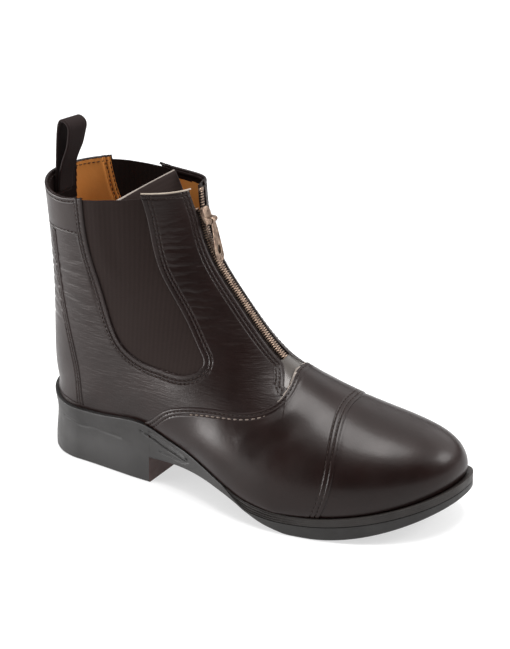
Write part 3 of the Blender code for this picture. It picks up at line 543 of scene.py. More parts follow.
class Panel:
    """A sheet raised from the last that keeps its distances from its seams, for stitches that follow them."""

    def __init__(self, grids, seams, height):
        base, self.quads = weld(grids)
        self.far = {name: distances(base, polylines) for name, polylines in seams.items()}
        self.points = base + normals_of(base, self.quads) * height(base, self.far)[:, None]
        self.out = normals_of(self.points, self.quads)

    def make(self, name, materials, thickness, inner=0, rim=0, replaces=(), slot="leather"):
        """The sheet with its thickness inwards, and other material slots on its inner face and rim."""
        obj = make(name, self.points, self.quads, materials, replaces=replaces, slot=slot)
        solid = obj.modifiers.new("thickness", "SOLIDIFY")
        solid.thickness = thickness * MM
        solid.offset = -1
        solid.material_offset = inner
        solid.material_offset_rim = rim
        return obj

    def middles(self):
        """The middle of each face."""
        return self.points[self.quads].mean(axis=1)

    def near(self, seam):
        """Each face's mean distance from a seam."""
        return self.far[seam][self.quads].mean(axis=1)

    def contour(self, seam, level):
        """The lines on the sheet that lie that far from a seam: each as points with normals."""
        d = self.far[seam] - level
        ends = np.stack([self.quads, np.roll(self.quads, -1, axis=1)], -1)
        cut = (d[ends[..., 0]] < 0) != (d[ends[..., 1]] < 0)
        chosen = cut.sum(axis=1) == 2
        pairs = np.sort(ends[chosen][cut[chosen]], axis=-1).reshape(-1, 2, 2)
        beside = {}
        for one, two in pairs.tolist():
            beside.setdefault(tuple(one), []).append(tuple(two))
            beside.setdefault(tuple(two), []).append(tuple(one))
        left, found = dict.fromkeys(beside), []
        for start in [k for k in beside if len(beside[k]) == 1] + list(beside):
            if start not in left:
                continue
            chain = []
            while start is not None:
                chain.append(start)
                left.pop(start)
                start = next((k for k in beside[start] if k in left), None)
            edges = np.array(chain)
            share = (d[edges[:, 0]] / (d[edges[:, 0]] - d[edges[:, 1]]))[:, None]
            line = self.points[edges[:, 0]] * (1 - share) + self.points[edges[:, 1]] * share
            if len(line) > ROW_POINTS and lengths(line)[-1] > ROW_LONG:
                found.append((line, self.out[edges[:, 0]]))
        return found


# Materials

def new_material(name):
    material = bpy.data.materials.new(name)
    material.use_nodes = True
    return material, material.node_tree, material.node_tree.nodes["Principled BSDF"]


def adjust(shader, **values):
    """Sets inputs of a shader by name, with underscores for blanks."""
    for key, value in values.items():
        shader.inputs[key.replace("_", " ")].default_value = value


def node(tree, kind, **values):
    """A shader node with some inputs set by name."""
    made = tree.nodes.new(kind)
    adjust(made, **values)
    return made


def ramp(tree, source, colours, at=(0.3, 0.7)):
    """Two colours over a value."""
    made = node(tree, "ShaderNodeValToRGB")
    for element, where, colour in zip(made.color_ramp.elements, at, colours):
        element.position = where
        element.color = (*colour, 1)
    tree.links.new(source, made.inputs["Fac"])
    return made.outputs["Color"]


def span(tree, source, low, high):
    """The middle of a noise's values carried to another range."""
    made = node(tree, "ShaderNodeMapRange", From_Min=0.3, From_Max=0.7, To_Min=low, To_Max=high)
    tree.links.new(source, made.inputs["Value"])
    return made.outputs["Result"]


def coordinates(tree, scale=(1, 1, 1)):
    """Object coordinates in millimetres, stretched."""
    where = node(tree, "ShaderNodeTexCoord")
    mapped = node(tree, "ShaderNodeMapping", Scale=tuple(1000 * s for s in scale))
    tree.links.new(where.outputs["Object"], mapped.inputs["Vector"])
    return mapped.outputs["Vector"]


def noise(tree, vector, scale, detail=3.0, rough=0.5):
    """A noise with that many cells in a millimetre."""
    made = node(tree, "ShaderNodeTexNoise", Scale=scale, Detail=detail, Roughness=rough)
    tree.links.new(vector, made.inputs["Vector"])
    return made.outputs["Fac"]


def bump(tree, shader, *layers):
    """Bump layers, each a height with its strength and distance in millimetres, onto the shader."""
    last = None
    for height, strength, distance in layers:
        made = node(tree, "ShaderNodeBump", Strength=strength, Distance=distance * MM)
        tree.links.new(height, made.inputs["Height"])
        if last:
            tree.links.new(last, made.inputs["Normal"])
        last = made.outputs["Normal"]
    tree.links.new(last, shader.inputs["Normal"])


def clouded(name, colours, rough, colour_scale, rough_scale):
    """A material whose colour and roughness each drift between two values, with its coordinates."""
    material, tree, shader = new_material(name)
    where = coordinates(tree)
    tree.links.new(ramp(tree, noise(tree, where, colour_scale, 4.0), colours), shader.inputs["Base Color"])
    tree.links.new(span(tree, noise(tree, where, rough_scale), *rough), shader.inputs["Roughness"])
    return material, tree, shader, where


LEATHER_TINT = 1.0, 0.93, 0.90, 1


def leather(name, colours, rough=(0.32, 0.46), grain=0.10, coat=0.16, wrinkle=0.0, gloss=0.18):
    """Smooth finished leather: small pores, clouds of colour and gloss, and fine cross wrinkles if asked."""
    material, tree, shader, where = clouded(name, colours, rough, 0.035, 0.06)
    pores = node(tree, "ShaderNodeTexVoronoi", Scale=1.3)
    tree.links.new(where, pores.inputs["Vector"])
    layers = [(pores.outputs["Distance"], grain, 0.25), (noise(tree, where, 0.16), 0.14, 0.8),
              (noise(tree, where, 0.5), 0.10, 0.35)]
    if wrinkle:
        folds = noise(tree, coordinates(tree, (0.3, 0.3, 2.4)), 0.26, 3.0, 0.6)
        layers.append((folds, wrinkle, 1.2))
    bump(tree, shader, *layers)
    adjust(shader, Specular_IOR_Level=gloss, Specular_Tint=LEATHER_TINT)
    adjust(shader, Coat_Weight=coat, Coat_Roughness=0.22)
    return material


def rubber(name, colours, rough=(0.42, 0.6)):
    """Moulded rubber: slight clouding of colour and gloss and a fine pebble."""
    material, tree, shader, where = clouded(name, colours, rough, 0.05, 0.12)
    bump(tree, shader, (noise(tree, where, 1.6, 2.0), 0.08, 0.3), (noise(tree, where, 0.1), 0.06, 0.8))
    adjust(shader, Specular_IOR_Level=0.34)
    return material


def metal(name, colours, rough=(0.28, 0.5)):
    """Antique plated metal: blotched, worn bright in places."""
    material, tree, shader, where = clouded(name, colours, rough, 0.35, 0.6)
    adjust(shader, Metallic=1.0)
    bump(tree, shader, (noise(tree, where, 1.2), 0.06, 0.2))
    return material


def cloth(name, colours, half_pitch, stretch, rough=0.85, depth=0.5):
    """Woven or ribbed cloth: bands along x, two half pitches apart as stretched, and a fuzz."""
    material, tree, shader = new_material(name)
    bands = node(tree, "ShaderNodeTexWave", Scale=1 / (half_pitch * 6.283), Distortion=0.6, Detail=2.0)
    bands.bands_direction = "X"
    tree.links.new(coordinates(tree, stretch), bands.inputs["Vector"])
    tree.links.new(ramp(tree, bands.outputs["Fac"], colours, (0.1, 0.9)), shader.inputs["Base Color"])
    adjust(shader, Roughness=rough, Sheen_Weight=0.04, Specular_IOR_Level=0.12)
    bump(tree, shader, (bands.outputs["Fac"], depth, 0.35), (noise(tree, coordinates(tree), 2.2), 0.15, 0.2))
    return material


BROWN = (0.0058, 0.0022, 0.0018), (0.0096, 0.0038, 0.0032)
LEATHER = leather("brown_leather", BROWN)
CREASED = leather("brown_leather_creased", BROWN, wrinkle=0.30)
# Dark facing leather: turned in at the slit and the medial front, and inside the back partly as painted shade.
FACING = leather("dark_facing", BROWN, (0.6, 0.75), coat=0.0)
RAW_EDGE = leather("raw_edge", ((0.30, 0.25, 0.20), (0.42, 0.36, 0.30)), (0.6, 0.75), coat=0.0)
# Pale edge leather: on the vamp's throat edge its paleness is partly a painted highlight; it also makes the
# tongue's rim and piping.
PALE_EDGE_AND_HIGHLIGHT = leather("pale_edge", ((0.20, 0.17, 0.15), (0.30, 0.26, 0.23)), (0.5, 0.65), coat=0.0)
# The throat tab's leather is lighter than the boot's brown: the lightness is a painted highlight on its
# upturned face.
TAB_PAINTED_HIGHLIGHT_BROWN = (0.030, 0.025, 0.021), (0.050, 0.042, 0.036)
TAB = leather("throat_leather", TAB_PAINTED_HIGHLIGHT_BROWN, (0.26, 0.36), coat=0.3, gloss=0.35)
TAN = leather("tan_lining", ((0.60, 0.215, 0.047), (0.70, 0.280, 0.075)), (0.5, 0.66), 0.06, 0.0, gloss=0.1)
RUBBER = rubber("sole_rubber", ((0.0150, 0.0136, 0.0130), (0.0230, 0.0212, 0.0205)))
WELT = rubber("welt_rubber", ((0.013, 0.0102, 0.009), (0.021, 0.017, 0.015)))
BREAST = rubber("breast_rubber", ((0.050, 0.021, 0.017), (0.072, 0.031, 0.025)))
ELASTIC_BROWN = (0.0128, 0.0070, 0.0058), (0.0148, 0.0084, 0.0070)
ELASTIC = cloth("elastic", ELASTIC_BROWN, 1.5, (1, 0, 0.12), 0.8, 0.06)
GUARD_BROWN = (0.0120, 0.0062, 0.0050), (0.0140, 0.0075, 0.0062)
GUARD = cloth("guard_cloth", GUARD_BROWN, 0.9, (1, 1, 0), 0.85, 0.05)
TAPE = cloth("zip_tape", ((0.012, 0.008, 0.007), (0.022, 0.015, 0.013)), 0.8, (0.4, 0, 1))
WEBBING_BROWN = (0.0135, 0.0075, 0.0072), (0.0195, 0.0110, 0.0105)
WEBBING = cloth("webbing", WEBBING_BROWN, 1.1, (0, 1, 0.25), 0.75, 0.4)
BRASS = metal("antique_brass", ((0.10, 0.064, 0.048), (0.34, 0.25, 0.19)))
THREAD = cloth("thread", ((0.016, 0.010, 0.0085), (0.034, 0.022, 0.018)), 0.5, (1, 1, 1), 0.7)
# Thread lightened as a painted highlight, for the lit stretch of the vamp's inner row.
THREAD_PAINTED_HIGHLIGHT = cloth("pale_thread", ((0.13, 0.10, 0.085), (0.20, 0.16, 0.135)), 0.5, (1, 1, 1), 0.7)


# Relief: heights over the last

EDGE_ROUND = 1.1
GROOVE_DEEP, GROOVE_WIDE = 0.50, 0.42
CREASE_DEPTH = 0.45            # share of their depth that the quarters' creases get
CREASE_COLUMNS = "x0 z0 x1 z1 width depth"


def edge_height(d, low, high):
    """Height at distance d inside a cut edge: a rounded rise."""
    t = np.clip(d / EDGE_ROUND, 0, 1)
    return low + (high - low) * np.sqrt(1 - (1 - t) ** 2)


def grooves(d, rows):
    """The lines that stitching pulls down, at some distances from an edge."""
    total = np.zeros_like(d)
    for row in rows:
        total -= GROOVE_DEEP * np.exp(-((d - row) / GROOVE_WIDE) ** 2)
    return total


# Main creases, as lines of the side view with a width and a depth
FRONT_CREASES = table(
    CREASE_COLUMNS,
    (88, 171, 104, 174.5, 1.1, 0.22),
    (90, 166, 106, 168, 1.3, 0.30),
    (89, 159.5, 108, 163, 1.2, 0.34),
    (92, 155, 112, 157.5, 1.6, 0.46),
    (95, 149.5, 114, 153.5, 1.2, 0.36),
    (95, 145, 118, 148, 1.8, 0.55),
    (99, 139.5, 121, 143, 1.4, 0.44),
    (103, 135.5, 124, 137, 1.3, 0.40),
    (104, 130, 128, 133, 1.9, 0.56),
    (109, 125.5, 131, 127.5, 1.4, 0.42),
    (111, 121.5, 133, 122, 1.2, 0.34),
    (114, 116, 139, 117, 1.9, 0.50),
    (119, 110, 142, 111.5, 1.5, 0.36),
    (123, 103.5, 147, 104.5, 1.7, 0.30))
BACK_CREASES = table(
    CREASE_COLUMNS,
    (14, 142, 44, 140, 1.8, 0.34),
    (15, 135, 46, 131.5, 2.2, 0.46),
    (17, 127, 48, 122, 1.8, 0.42),
    (20, 119, 52, 111, 2.4, 0.50),
    (24, 110, 55, 101, 2.0, 0.34),
    (30, 102, 58, 94, 2.2, 0.26))
HEEL_CREASES = table(
    CREASE_COLUMNS,
    (0, 163, 22, 164, 1.3, 0.40),
    (0, 157.5, 21, 158, 1.5, 0.50),
    (0, 147, 20, 146, 1.4, 0.52),
    (0, 141.5, 21, 140, 1.5, 0.60),
    (0, 134.5, 22, 133, 1.6, 0.66),
    (0, 128.5, 22, 126, 1.4, 0.56),
    (0, 121.5, 24, 119, 1.7, 0.62),
    (0, 114, 25, 111, 1.6, 0.50),
    (0, 106.5, 26, 103, 1.7, 0.42),
    (0, 98, 27, 94, 1.9, 0.30))
VAMP_CREASES = table(
    CREASE_COLUMNS,
    (150, 62, 176, 80, 5.0, 0.50),
    (160, 52, 190, 74, 6.0, -0.45),
    (172, 45, 200, 68, 6.0, 0.40))
# Short folds of the front panels: how many, where they lie, and the ranges of their sizes
FOLDS = 46
FOLD_LOW, FOLD_HIGH = 104, 176
FOLD_FRONT, FOLD_SLANT, FOLD_SPREAD = 84, 0.56, 18
FOLD_LONG, FOLD_RISE = (5, 15), (0.02, 0.22)
FOLD_WIDE, FOLD_DEEP = (0.6, 1.0), (0.06, 0.2)


def fine_folds(seed):
    """Short shallow folds scattered between the main ones of the front panel."""
    draw = np.random.default_rng(seed).uniform
    z = draw(FOLD_LOW, FOLD_HIGH, FOLDS)
    x = FOLD_FRONT + (FOLD_HIGH - z) * FOLD_SLANT + draw(0, FOLD_SPREAD, FOLDS)
    long = draw(*FOLD_LONG, FOLDS)
    rise = draw(*FOLD_RISE, FOLDS) * long
    columns = x, z, x + long, z + rise, draw(*FOLD_WIDE, FOLDS), draw(*FOLD_DEEP, FOLDS)
    return dict(zip(CREASE_COLUMNS.split(), columns))


def crease_height(points, *tables):
    """Soft troughs with a swell on each side, fading out at their ends."""
    xz = points[:, [0, 2]]
    height = np.zeros(len(points))
    for creases in tables:
        for x0, z0, x1, z1, width, depth in zip(*creases.values()):
            a, b = np.array([x0, z0]), np.array([x1, z1])
            t = ((xz - a) @ (b - a)) / ((b - a) @ (b - a))
            sway = 0.7 * np.sin(6 * t + 1.7 * z0) + 0.35 * np.sin(15 * t + x0)
            d = ((xz - a) @ np.array([-(b - a)[1], (b - a)[0]])) / np.linalg.norm(b - a) - sway
            fade = smooth(1.25 - np.abs(2 * t - 1) ** 2)
            u = d / width
            height -= depth * fade * (1 - 0.9 * u**2) * np.exp(-u**2)
    return height


# Upper panels

TURNED = {"lateral": True, "medial": False}
QUARTER_SKIN, VAMP_HIGH, CAP_HIGH, BAND_HIGH, STAY_HIGH = -0.3, 0.75, 0.25, 0.35, 0.3
QUARTER_EDGE, TRIM_EDGE, VAMP_LOW = QUARTER_SKIN - 0.7, QUARTER_SKIN - 0.4, CAP_HIGH - 0.5
QUARTER_THICK, CAP_THICK, VAMP_THICK, TRIM_THICK, LINING_THICK = 1.7, 1.2, 1.0, 0.8, 1.0
COLLAR_ROWS, VAMP_ROWS, CAP_ROWS, STAY_ROWS, BAND_ROWS = (2.8,), (2.2, 4.6), (2.9, 5.8), (2.0, 4.2), (2.2,)
QUARTER_ROWS = ("gore", (3.4, 5.5)), ("slit", (3.2, 5.7)), ("front", COLLAR_ROWS)
FOLD_SEED = {"lateral": 3, "medial": 4}

# How far the quarter and the forefoot's lining run on under the vamp, the height below which they follow its
# edge, how many of the edge's last points they leave out, and the step between those that they take
TUCK, TUCK_BELOW, TUCK_SHORT = 7.0, 75, 30
LINING_TUCK, LINING_BELOW, LINING_SHORT = 9, 72, 60
POINT_STEP = 14
LINING_TOP, LINING_DEEP = 12, -2.0


def gore_border(side, count=900):
    border = np.concatenate([curve(GORE_FRONT[side])[:-1], curve(GORE_REAR[side])[::-1]])
    return at_lengths(border, np.linspace(0, lengths(border)[-1], count))


def moved(line, distance):
    """A side-view line moved to its left by a distance."""
    step = unit(np.gradient(line, axis=0))
    return line + distance * np.stack([-step[:, 1], step[:, 0]], -1)


def under_vamp(side, start, forward, below, short, end=(), count=300):
    """A line from a start along the vamp's back edge, moved forward under it and kept above the feather line.

    It takes the edge's points below a height, without the last ones.
    """
    edge = vamp_edge(side)
    path = moved(edge, forward)[edge[:, 1] < below][:-short:POINT_STEP]
    path = curve([start, *path, *end], count)
    path[:, 1] = np.maximum(path[:, 1], feather_z(path[:, 0]))
    return path


def quarter_outline(side):
    """The quarter's outer border as four side-view curves: slit, under the vamp, feather line, back seam."""
    slit = slit_edge(np.linspace(COLLAR_ROW, float(ridge_row(VAMP_TOP + TUCK)), 300), side)
    under = under_vamp(side, slit[-1], TUCK, TUCK_BELOW, TUCK_SHORT, [feather(VAMP_FOOT + TUCK)])
    heel = np.sin(np.linspace(0, 1, 200) * math.pi / 2)
    low = feather(under[-1, 0] + (HEEL_MARGIN - under[-1, 0]) * heel)
    return slit, under, low, back_seam(np.linspace(HEEL_Z, COLLAR_BACK, 200))


QUARTER_COUNTS = 150, 60, 50, 130
QUARTER_SHARES = 0, 0.42, 0.60, 0.74, 1.0
QUARTER_ACROSS = 92
SAG_OVER = 26.0                # how far along the gore's border a collar edge's dip fades out


def quarter_grid(side):
    """Lines from the gore's border to the quarter's outer border."""
    parts = quarter_outline(side)
    border = gore_border(side)
    total = lengths(border)[-1]
    outer, inner, along = [], [], []
    for k, part in enumerate(parts):
        head, tail = k == 0, k == len(parts) - 1
        low, high = QUARTER_SHARES[k] * total, QUARTER_SHARES[k + 1] * total
        where = low + ladder(high - low, QUARTER_COUNTS[k], head, tail)
        first = 0 if head else 1
        outer.append(stepped(part, QUARTER_COUNTS[k], head, tail)[first:])
        inner.append(at_lengths(border, where)[first:])
        along.append(where[first:])
    along = np.concatenate(along)
    front, back = COLLAR_SAG[side]
    sag = front * np.clip(1 - along / SAG_OVER, 0, 1) ** 2
    sag = sag + back * np.clip(1 - (total - along) / SAG_OVER, 0, 1) ** 2
    return lines(np.concatenate(inner), np.concatenate(outer), side, QUARTER_ACROSS, True, True, sag=sag)


# The quarter's materials, in threes for outside, inside and cut rim
QUARTER_SLOTS = [CREASED, TAN, RAW_EDGE, CREASED, TAN, LEATHER, CREASED, FACING, LEATHER]
PALE_RIM, PLAIN, FACED = 0, 3, 6
LINING_EDGE = 0.55             # radius of the pale lining's edge behind the lateral front's collar
LINING_EDGE_IN = -0.4, 1.4, 0.15
FRONT_LIGHT_EDGE = 1.0         # faces this near the lateral front's collar edge get a pale cut rim
FACING_AND_SHADE_LOW = 164.0             # the dark leather inside the back, where the loop is sewn, also laid as painted shade on the inner back wall
FACING_AND_SHADE_FRONT = {"lateral": 32.0, "medial": 8.0}
FACING_TURN = 6.5              # the leather turned in over the medial front's collar edge
FACING_SLIT = 2.5              # and over the slit's edges
STRIP_WIDE, STRIP_RISE, STRIP_FADE = 6.6, 0.85, 0.9
STRIP_FROM, STRIP_OVER, STRIP_FRONT = 128, 18, 70


def binding(points, to_gore, fade=STRIP_FADE):
    """The gore's binding stands over the end of the collar band."""
    over = smooth((points[:, 2] - STRIP_FROM) / STRIP_OVER) * (points[:, 0] < STRIP_FRONT)
    return STRIP_RISE * over * (1 - smooth((to_gore - STRIP_WIDE + 0.5) / fade))


def paint(obj, slots):
    """Gives each face its material slot."""
    obj.data.polygons.foreach_set("material_index", slots.astype(np.int32))


def quarter(side):
    grid = quarter_grid(side)
    seams = {"gore": [grid[:, 0]], "slit": [grid[:QUARTER_COUNTS[0], -1]]}
    seams.update(front=[grid[0]], back=[grid[-1]])
    folds = fine_folds(FOLD_SEED[side])

    def height(points, far):
        collar = np.minimum(far["front"], far["back"])
        edge = np.minimum(np.minimum(far["gore"], far["slit"]), collar)
        h = edge_height(edge, QUARTER_EDGE, QUARTER_SKIN) + binding(points, far["gore"])
        for seam, rows in QUARTER_ROWS:
            h = h + grooves(far[seam], rows)
        calm = smooth((far["gore"] - 1) / 7) * smooth((far["slit"] - 1) / 7) * smooth((collar - 4) / 8)
        return h + CREASE_DEPTH * crease_height(points, FRONT_CREASES, BACK_CREASES, folds) * calm

    panel = Panel([(grid, not TURNED[side])], seams, height)
    replaced = ("upper",) if side == "lateral" else ()
    obj = panel.make("quarter_" + side, QUARTER_SLOTS, QUARTER_THICK, 1, 2, replaces=replaced)
    middle = panel.middles()
    # The dark leather inside the back stands partly for painted shade on the inner back wall.
    faced_and_shade = (middle[:, 2] > FACING_AND_SHADE_LOW) & (middle[:, 0] < FACING_AND_SHADE_FRONT[side])
    faced_and_shade |= panel.near("slit") < FACING_SLIT
    if side == "medial":
        faced_and_shade |= panel.near("front") < FACING_TURN
    slots = np.where(faced_and_shade, FACED, PLAIN)
    if side == "lateral":
        slots[panel.far["front"][panel.quads].min(axis=1) < FRONT_LIGHT_EDGE] = PALE_RIM
        make("lining_edge", *tube(grid[0] + LINING_EDGE_IN, LINING_EDGE), [RAW_EDGE], slot="footbed")
    paint(obj, slots)
    return panel


CAP_UNDER = 8.0                # how far the cap runs on under the vamp
CAP_ALONG, CAP_ACROSS, CAP_TURN = 90, 60, 0.9
CAP_PRESS, CAP_PRESS_WIDE = 0.25, 1.6


def cap_grids():
    grids = []
    turn = np.linspace(0, 1, CAP_ALONG)
    top = float(ridge_row(CAP_TOP - CAP_UNDER)) * (1 - turn)
    for side in SIDES:
        back = CAP_FOOT[side] - CAP_UNDER
        foot = back + (TOE_X - back) * np.sin(turn * math.pi / 2) ** CAP_TURN
        grid = lines(feather(foot), ridge(top), side, CAP_ACROSS, bow=CAP_BOW[side] * (1 - turn) ** 2)
        grids.append((grid, not TURNED[side]))
    return grids


def toe_cap():
    def height(points, far):
        """The cap sinks a little where the vamp's edge presses on it."""
        return CAP_HIGH - CAP_PRESS * np.exp(-(far["seam"] / CAP_PRESS_WIDE) ** 2)

    panel = Panel(cap_grids(), {"seam": [on_side(cap_seam(side), side) for side in SIDES]}, height)
    panel.make("toe_cap_panel", [LEATHER], CAP_THICK, replaces=("toe_cap",))


VAMP_FRONT, VAMP_REAR, VAMP_ACROSS = 64, 140, 80
VAMP_SLANT = 0.36              # how fast the feet of the vamp's lines fall back, against their tops
VAMP_BOWED, VAMP_BOW_CURVE = 36, 1.5
CUT_EDGE_HIGHLIGHT, CUT_EDGE_HIGHLIGHT_LOW = 0.5, 75  # the pale cut edge at the throat, its paleness partly a painted highlight


def vamp_grids():
    grids = []
    front = ladder(CAP_TOP - VAMP_TOP, VAMP_FRONT, head=True)
    top = ridge(ridge_row(CAP_TOP - front))
    for side in SIDES:
        edge = stepped(vamp_edge(side), VAMP_REAR + 1)[1:]
        foot_front = CAP_FOOT[side] - front * VAMP_SLANT
        foot_back = np.linspace(foot_front[-1], VAMP_FOOT, VAMP_REAR + 1)[1:]
        bow = CAP_BOW[side] * np.clip(1 - front / VAMP_BOWED, 0, 1) ** VAMP_BOW_CURVE
        bow = np.r_[bow, np.zeros(VAMP_REAR)]
        start = feather(np.r_[foot_front, foot_back])
        grid = lines(start, np.concatenate([top, edge]), side, VAMP_ACROSS, tail=True, bow=bow)
        grids.append((grid, TURNED[side]))
    return grids


def vamp():
    grids = vamp_grids()
    rear = [on_side(vamp_edge(side), side) for side in SIDES]
    seams = {"rear": rear, "front": [grid[0] for grid, _ in grids]}

    def height(points, far):
        edge = np.minimum(far["rear"], far["front"])
        h = edge_height(edge, VAMP_LOW, VAMP_HIGH) + grooves(far["rear"], VAMP_ROWS)
        h = h + grooves(far["front"], CAP_ROWS)
        return h + crease_height(points, VAMP_CREASES) * smooth((edge - 3) / 8)

    panel = Panel(grids, seams, height)
    obj = panel.make("vamp_panel", [LEATHER, PALE_EDGE_AND_HIGHLIGHT], VAMP_THICK, replaces=("vamp",))
    # Faces along the vamp's throat edge get the pale leather: a cut edge partly lit by a painted highlight.
    paint(obj, (panel.near("rear") < CUT_EDGE_HIGHLIGHT) & (panel.middles()[:, 2] > CUT_EDGE_HIGHLIGHT_LOW))
    return panel


STAY_ALONG, STAY_ACROSS, STAY_UNDER = 130, 60, 4
BAND_ALONG, BAND_ACROSS, BAND_CREASED = 70, 76, 0.6


def backstay():
    edge = stepped(curve(BACKSTAY_EDGE), STAY_ALONG)
    seam = back_seam(np.linspace(HEEL_Z, BAND_LOW_BACK + STAY_UNDER, STAY_ALONG))
    grids = [(lines(seam, edge, side, STAY_ACROSS, tail=True), TURNED[side]) for side in SIDES]

    def height(points, far):
        h = edge_height(far["edge"], TRIM_EDGE, STAY_HIGH) + grooves(far["edge"], STAY_ROWS)
        under_band = smooth((points[:, 2] - BAND_LOW_BACK - 0.5) / 2)
        h = h + crease_height(points, HEEL_CREASES) * smooth((far["edge"] - 0.5) / 5)
        return h * (1 - under_band) + TRIM_EDGE * under_band

    panel = Panel(grids, {"edge": [on_side(edge, side) for side in SIDES]}, height)
    panel.make("backstay_panel", [LEATHER], TRIM_THICK, replaces=("backstay",))
    return panel


def collar_band():
    grids = []
    seam = back_seam(ladder(COLLAR_BACK - BAND_LOW_BACK, BAND_ALONG, True, True) + BAND_LOW_BACK)
    up = (seam[:, 1:] - seam[0, 1]) / np.ptp(seam[:, 1])
    for side in SIDES:
        top, foot = np.array(BAND_END[side])
        sag = COLLAR_SAG[side][1] * up[:, 0] ** 2
        grids.append((lines(seam, foot + (top - foot) * up, side, BAND_ACROSS, sag=sag), TURNED[side]))

    def height(points, far):
        h = edge_height(np.minimum(far["low"], far["top"]), TRIM_EDGE, BAND_HIGH)
        h = h + grooves(far["low"], BAND_ROWS) + grooves(far["top"], COLLAR_ROWS)
        return h + crease_height(points, HEEL_CREASES) * smooth((far["low"] - 3) / 5) * BAND_CREASED

    seams = {"low": [grid[0] for grid, _ in grids], "top": [grid[-1] for grid, _ in grids]}
    panel = Panel(grids, seams, height)
    panel.make("collar_band_panel", [LEATHER], TRIM_THICK, replaces=("collar_band",))
    return panel


GORE_HIGH, GORE_THICK, GORE_UNDER, GORE_LOW, GORE_FADE = -1.35, 0.55, 5.0, 2.4, 13.0
GORE_ALONG, GORE_ACROSS = 150, 70


def gore(side):
    """The elastic, run on under the quarter's edge and a little below its corners."""
    border = gore_border(side)
    under = moved(border, GORE_UNDER)
    middle = np.argmin(under[:, 1])
    front, rear = under[:middle + 1], under[middle:][::-1]
    front, rear = (line[line[:, 1] < border[end, 1] - GORE_LOW] for line, end in ((front, 0), (rear, -1)))
    front, rear = (stepped(line, GORE_ALONG, head=True) for line in (front, rear))

    def height(points, far):
        """The elastic rises with the binding that holds it."""
        return GORE_HIGH + binding(points, far["rear"], GORE_FADE)

    seams = {"rear": [on_side(curve(GORE_REAR[side]), side)]}
    panel = Panel([(lines(rear, front, side, GORE_ACROSS), not TURNED[side])], seams, height)
    panel.make("gore_panel_" + side, [ELASTIC], GORE_THICK, replaces=("gore_" + side,), slot="elastic")


def forefoot_lining():
    """The lining of the toe and vamp, seen through the collar."""
    grids = cap_grids()
    rows = np.linspace(float(ridge_row(CAP_TOP - CAP_UNDER)), float(ridge_row(VAMP_TOP + LINING_TOP)), 20)
    for side in SIDES:
        inner = under_vamp(side, ridge(rows[-1]), LINING_TUCK, LINING_BELOW, LINING_SHORT, count=200)
        end = np.concatenate([ridge(rows), stepped(inner, 61)[1:]])
        foot = np.linspace(CAP_FOOT[side] - CAP_UNDER, inner[-1, 0], len(end))
        grids.append((lines(feather(foot), end, side, 24), TURNED[side]))
    panel = Panel(grids, {}, lambda points, far: np.full(len(points), LINING_DEEP))
    panel.make("lining_forefoot", [TAN], LINING_THICK, slot="footbed")


# Stitches

STITCH = 2.2, 0.8, 0.33        # length, gap and radius
BOLD_STITCH = 2.5, 1.4, 0.48
FIRST_STITCH = 1.5             # how far from a row's end its first stitch is
ROW_SMOOTHING = 9
RUN_LONG, BETWEEN_POINTS = 5, 12   # a kept run is longer than this, and a row between two x has more points
SEWN_ABOVE, FRONT_SEWN_ABOVE = 60, 176   # heights above which the quarters' rows show
LINING_ROWS = ("gore", 2.6), ("gore", 5.2), ("back", 3.4)
LINING_SEWN_ABOVE, LINING_SEWN_BEHIND = 120, 70
HIGHLIGHT_FROM, HIGHLIGHT_TO = 122, 176   # where the vamp's inner row is bold, its thread pale as a painted highlight
DARK_FROM, DARK_TO = 80, 121


def capsule(start, end, out, radius):
    """Points and faces of one stitch: a short thread that dips into its holes at both ends."""
    side = np.cross(out, unit(end - start))
    turn = circle(6)[:, None]
    made = []
    for t in np.linspace(0, 1, 5):
        fat = radius * (0.55 + 0.45 * math.sin(math.pi * min(max(t, 0.08), 0.92)))
        rise = radius * (1.1 * math.sin(math.pi * t) - 0.3)
        centre = start + (end - start) * t + out * rise
        made.append(centre + fat * (np.cos(turn) * side + np.sin(turn) * out))
    return rings_mesh(made)


def calmed(values):
    """Running means of a row's points, with its ends kept."""
    reach = min(ROW_SMOOTHING // 2, (len(values) - 1) // 2)
    padded = np.pad(values, ((reach, reach), (0, 0)), mode="reflect", reflect_type="odd")
    kernel = np.ones(2 * reach + 1) / (2 * reach + 1)
    return np.stack([np.convolve(padded[:, k], kernel, mode="valid") for k in range(values.shape[1])], -1)


def stitch_row(line, out, size):
    """The stitches along one row, as points and faces."""
    line, out = calmed(line), unit(calmed(out))
    long, gap, radius = size
    d = lengths(line)
    made = []
    for k in range(int((d[-1] - 2 * FIRST_STITCH) / (long + gap))):
        a = FIRST_STITCH + k * (long + gap)
        ends = at_lengths(line, np.array([a, a + long]))
        normal = unit(np.array([np.interp(a + long / 2, d, out[:, k]) for k in range(3)]))
        made.append(capsule(ends[0], ends[1], normal, radius))
    return made


def between(rows, low, high):
    """The lengths of some rows that lie from one x to another."""
    chosen = [(line[:, 0] > low) & (line[:, 0] < high) for line, _ in rows]
    return [(line[keep], out[keep]) for (line, out), keep in zip(rows, chosen) if keep.sum() > BETWEEN_POINTS]


def stitches(name, rows, material, size=STITCH):
    """One piece of the stitches along some rows."""
    made = [one for line, out in rows for one in stitch_row(line, out, size)]
    make(name, *joined(made), [material], slot="leather")


def kept(rows, test):
    """The stretches of some rows whose points pass a test."""
    found = []
    for line, out in rows:
        good = test(line)
        for run in np.split(np.arange(len(line)), np.flatnonzero(np.diff(good)) + 1):
            if good[run[0]] and len(run) > ROW_POINTS and lengths(line[run])[-1] > RUN_LONG:
                found.append((line[run], out[run]))
    return found


def in_shaft(line):
    return (line[:, 2] > LINING_SEWN_ABOVE) & (line[:, 0] < LINING_SEWN_BEHIND)


def inside(rows):
    """Rows carried through the quarter to its lining."""
    return [(line - out * (QUARTER_THICK - 0.1), -out) for line, out in rows]


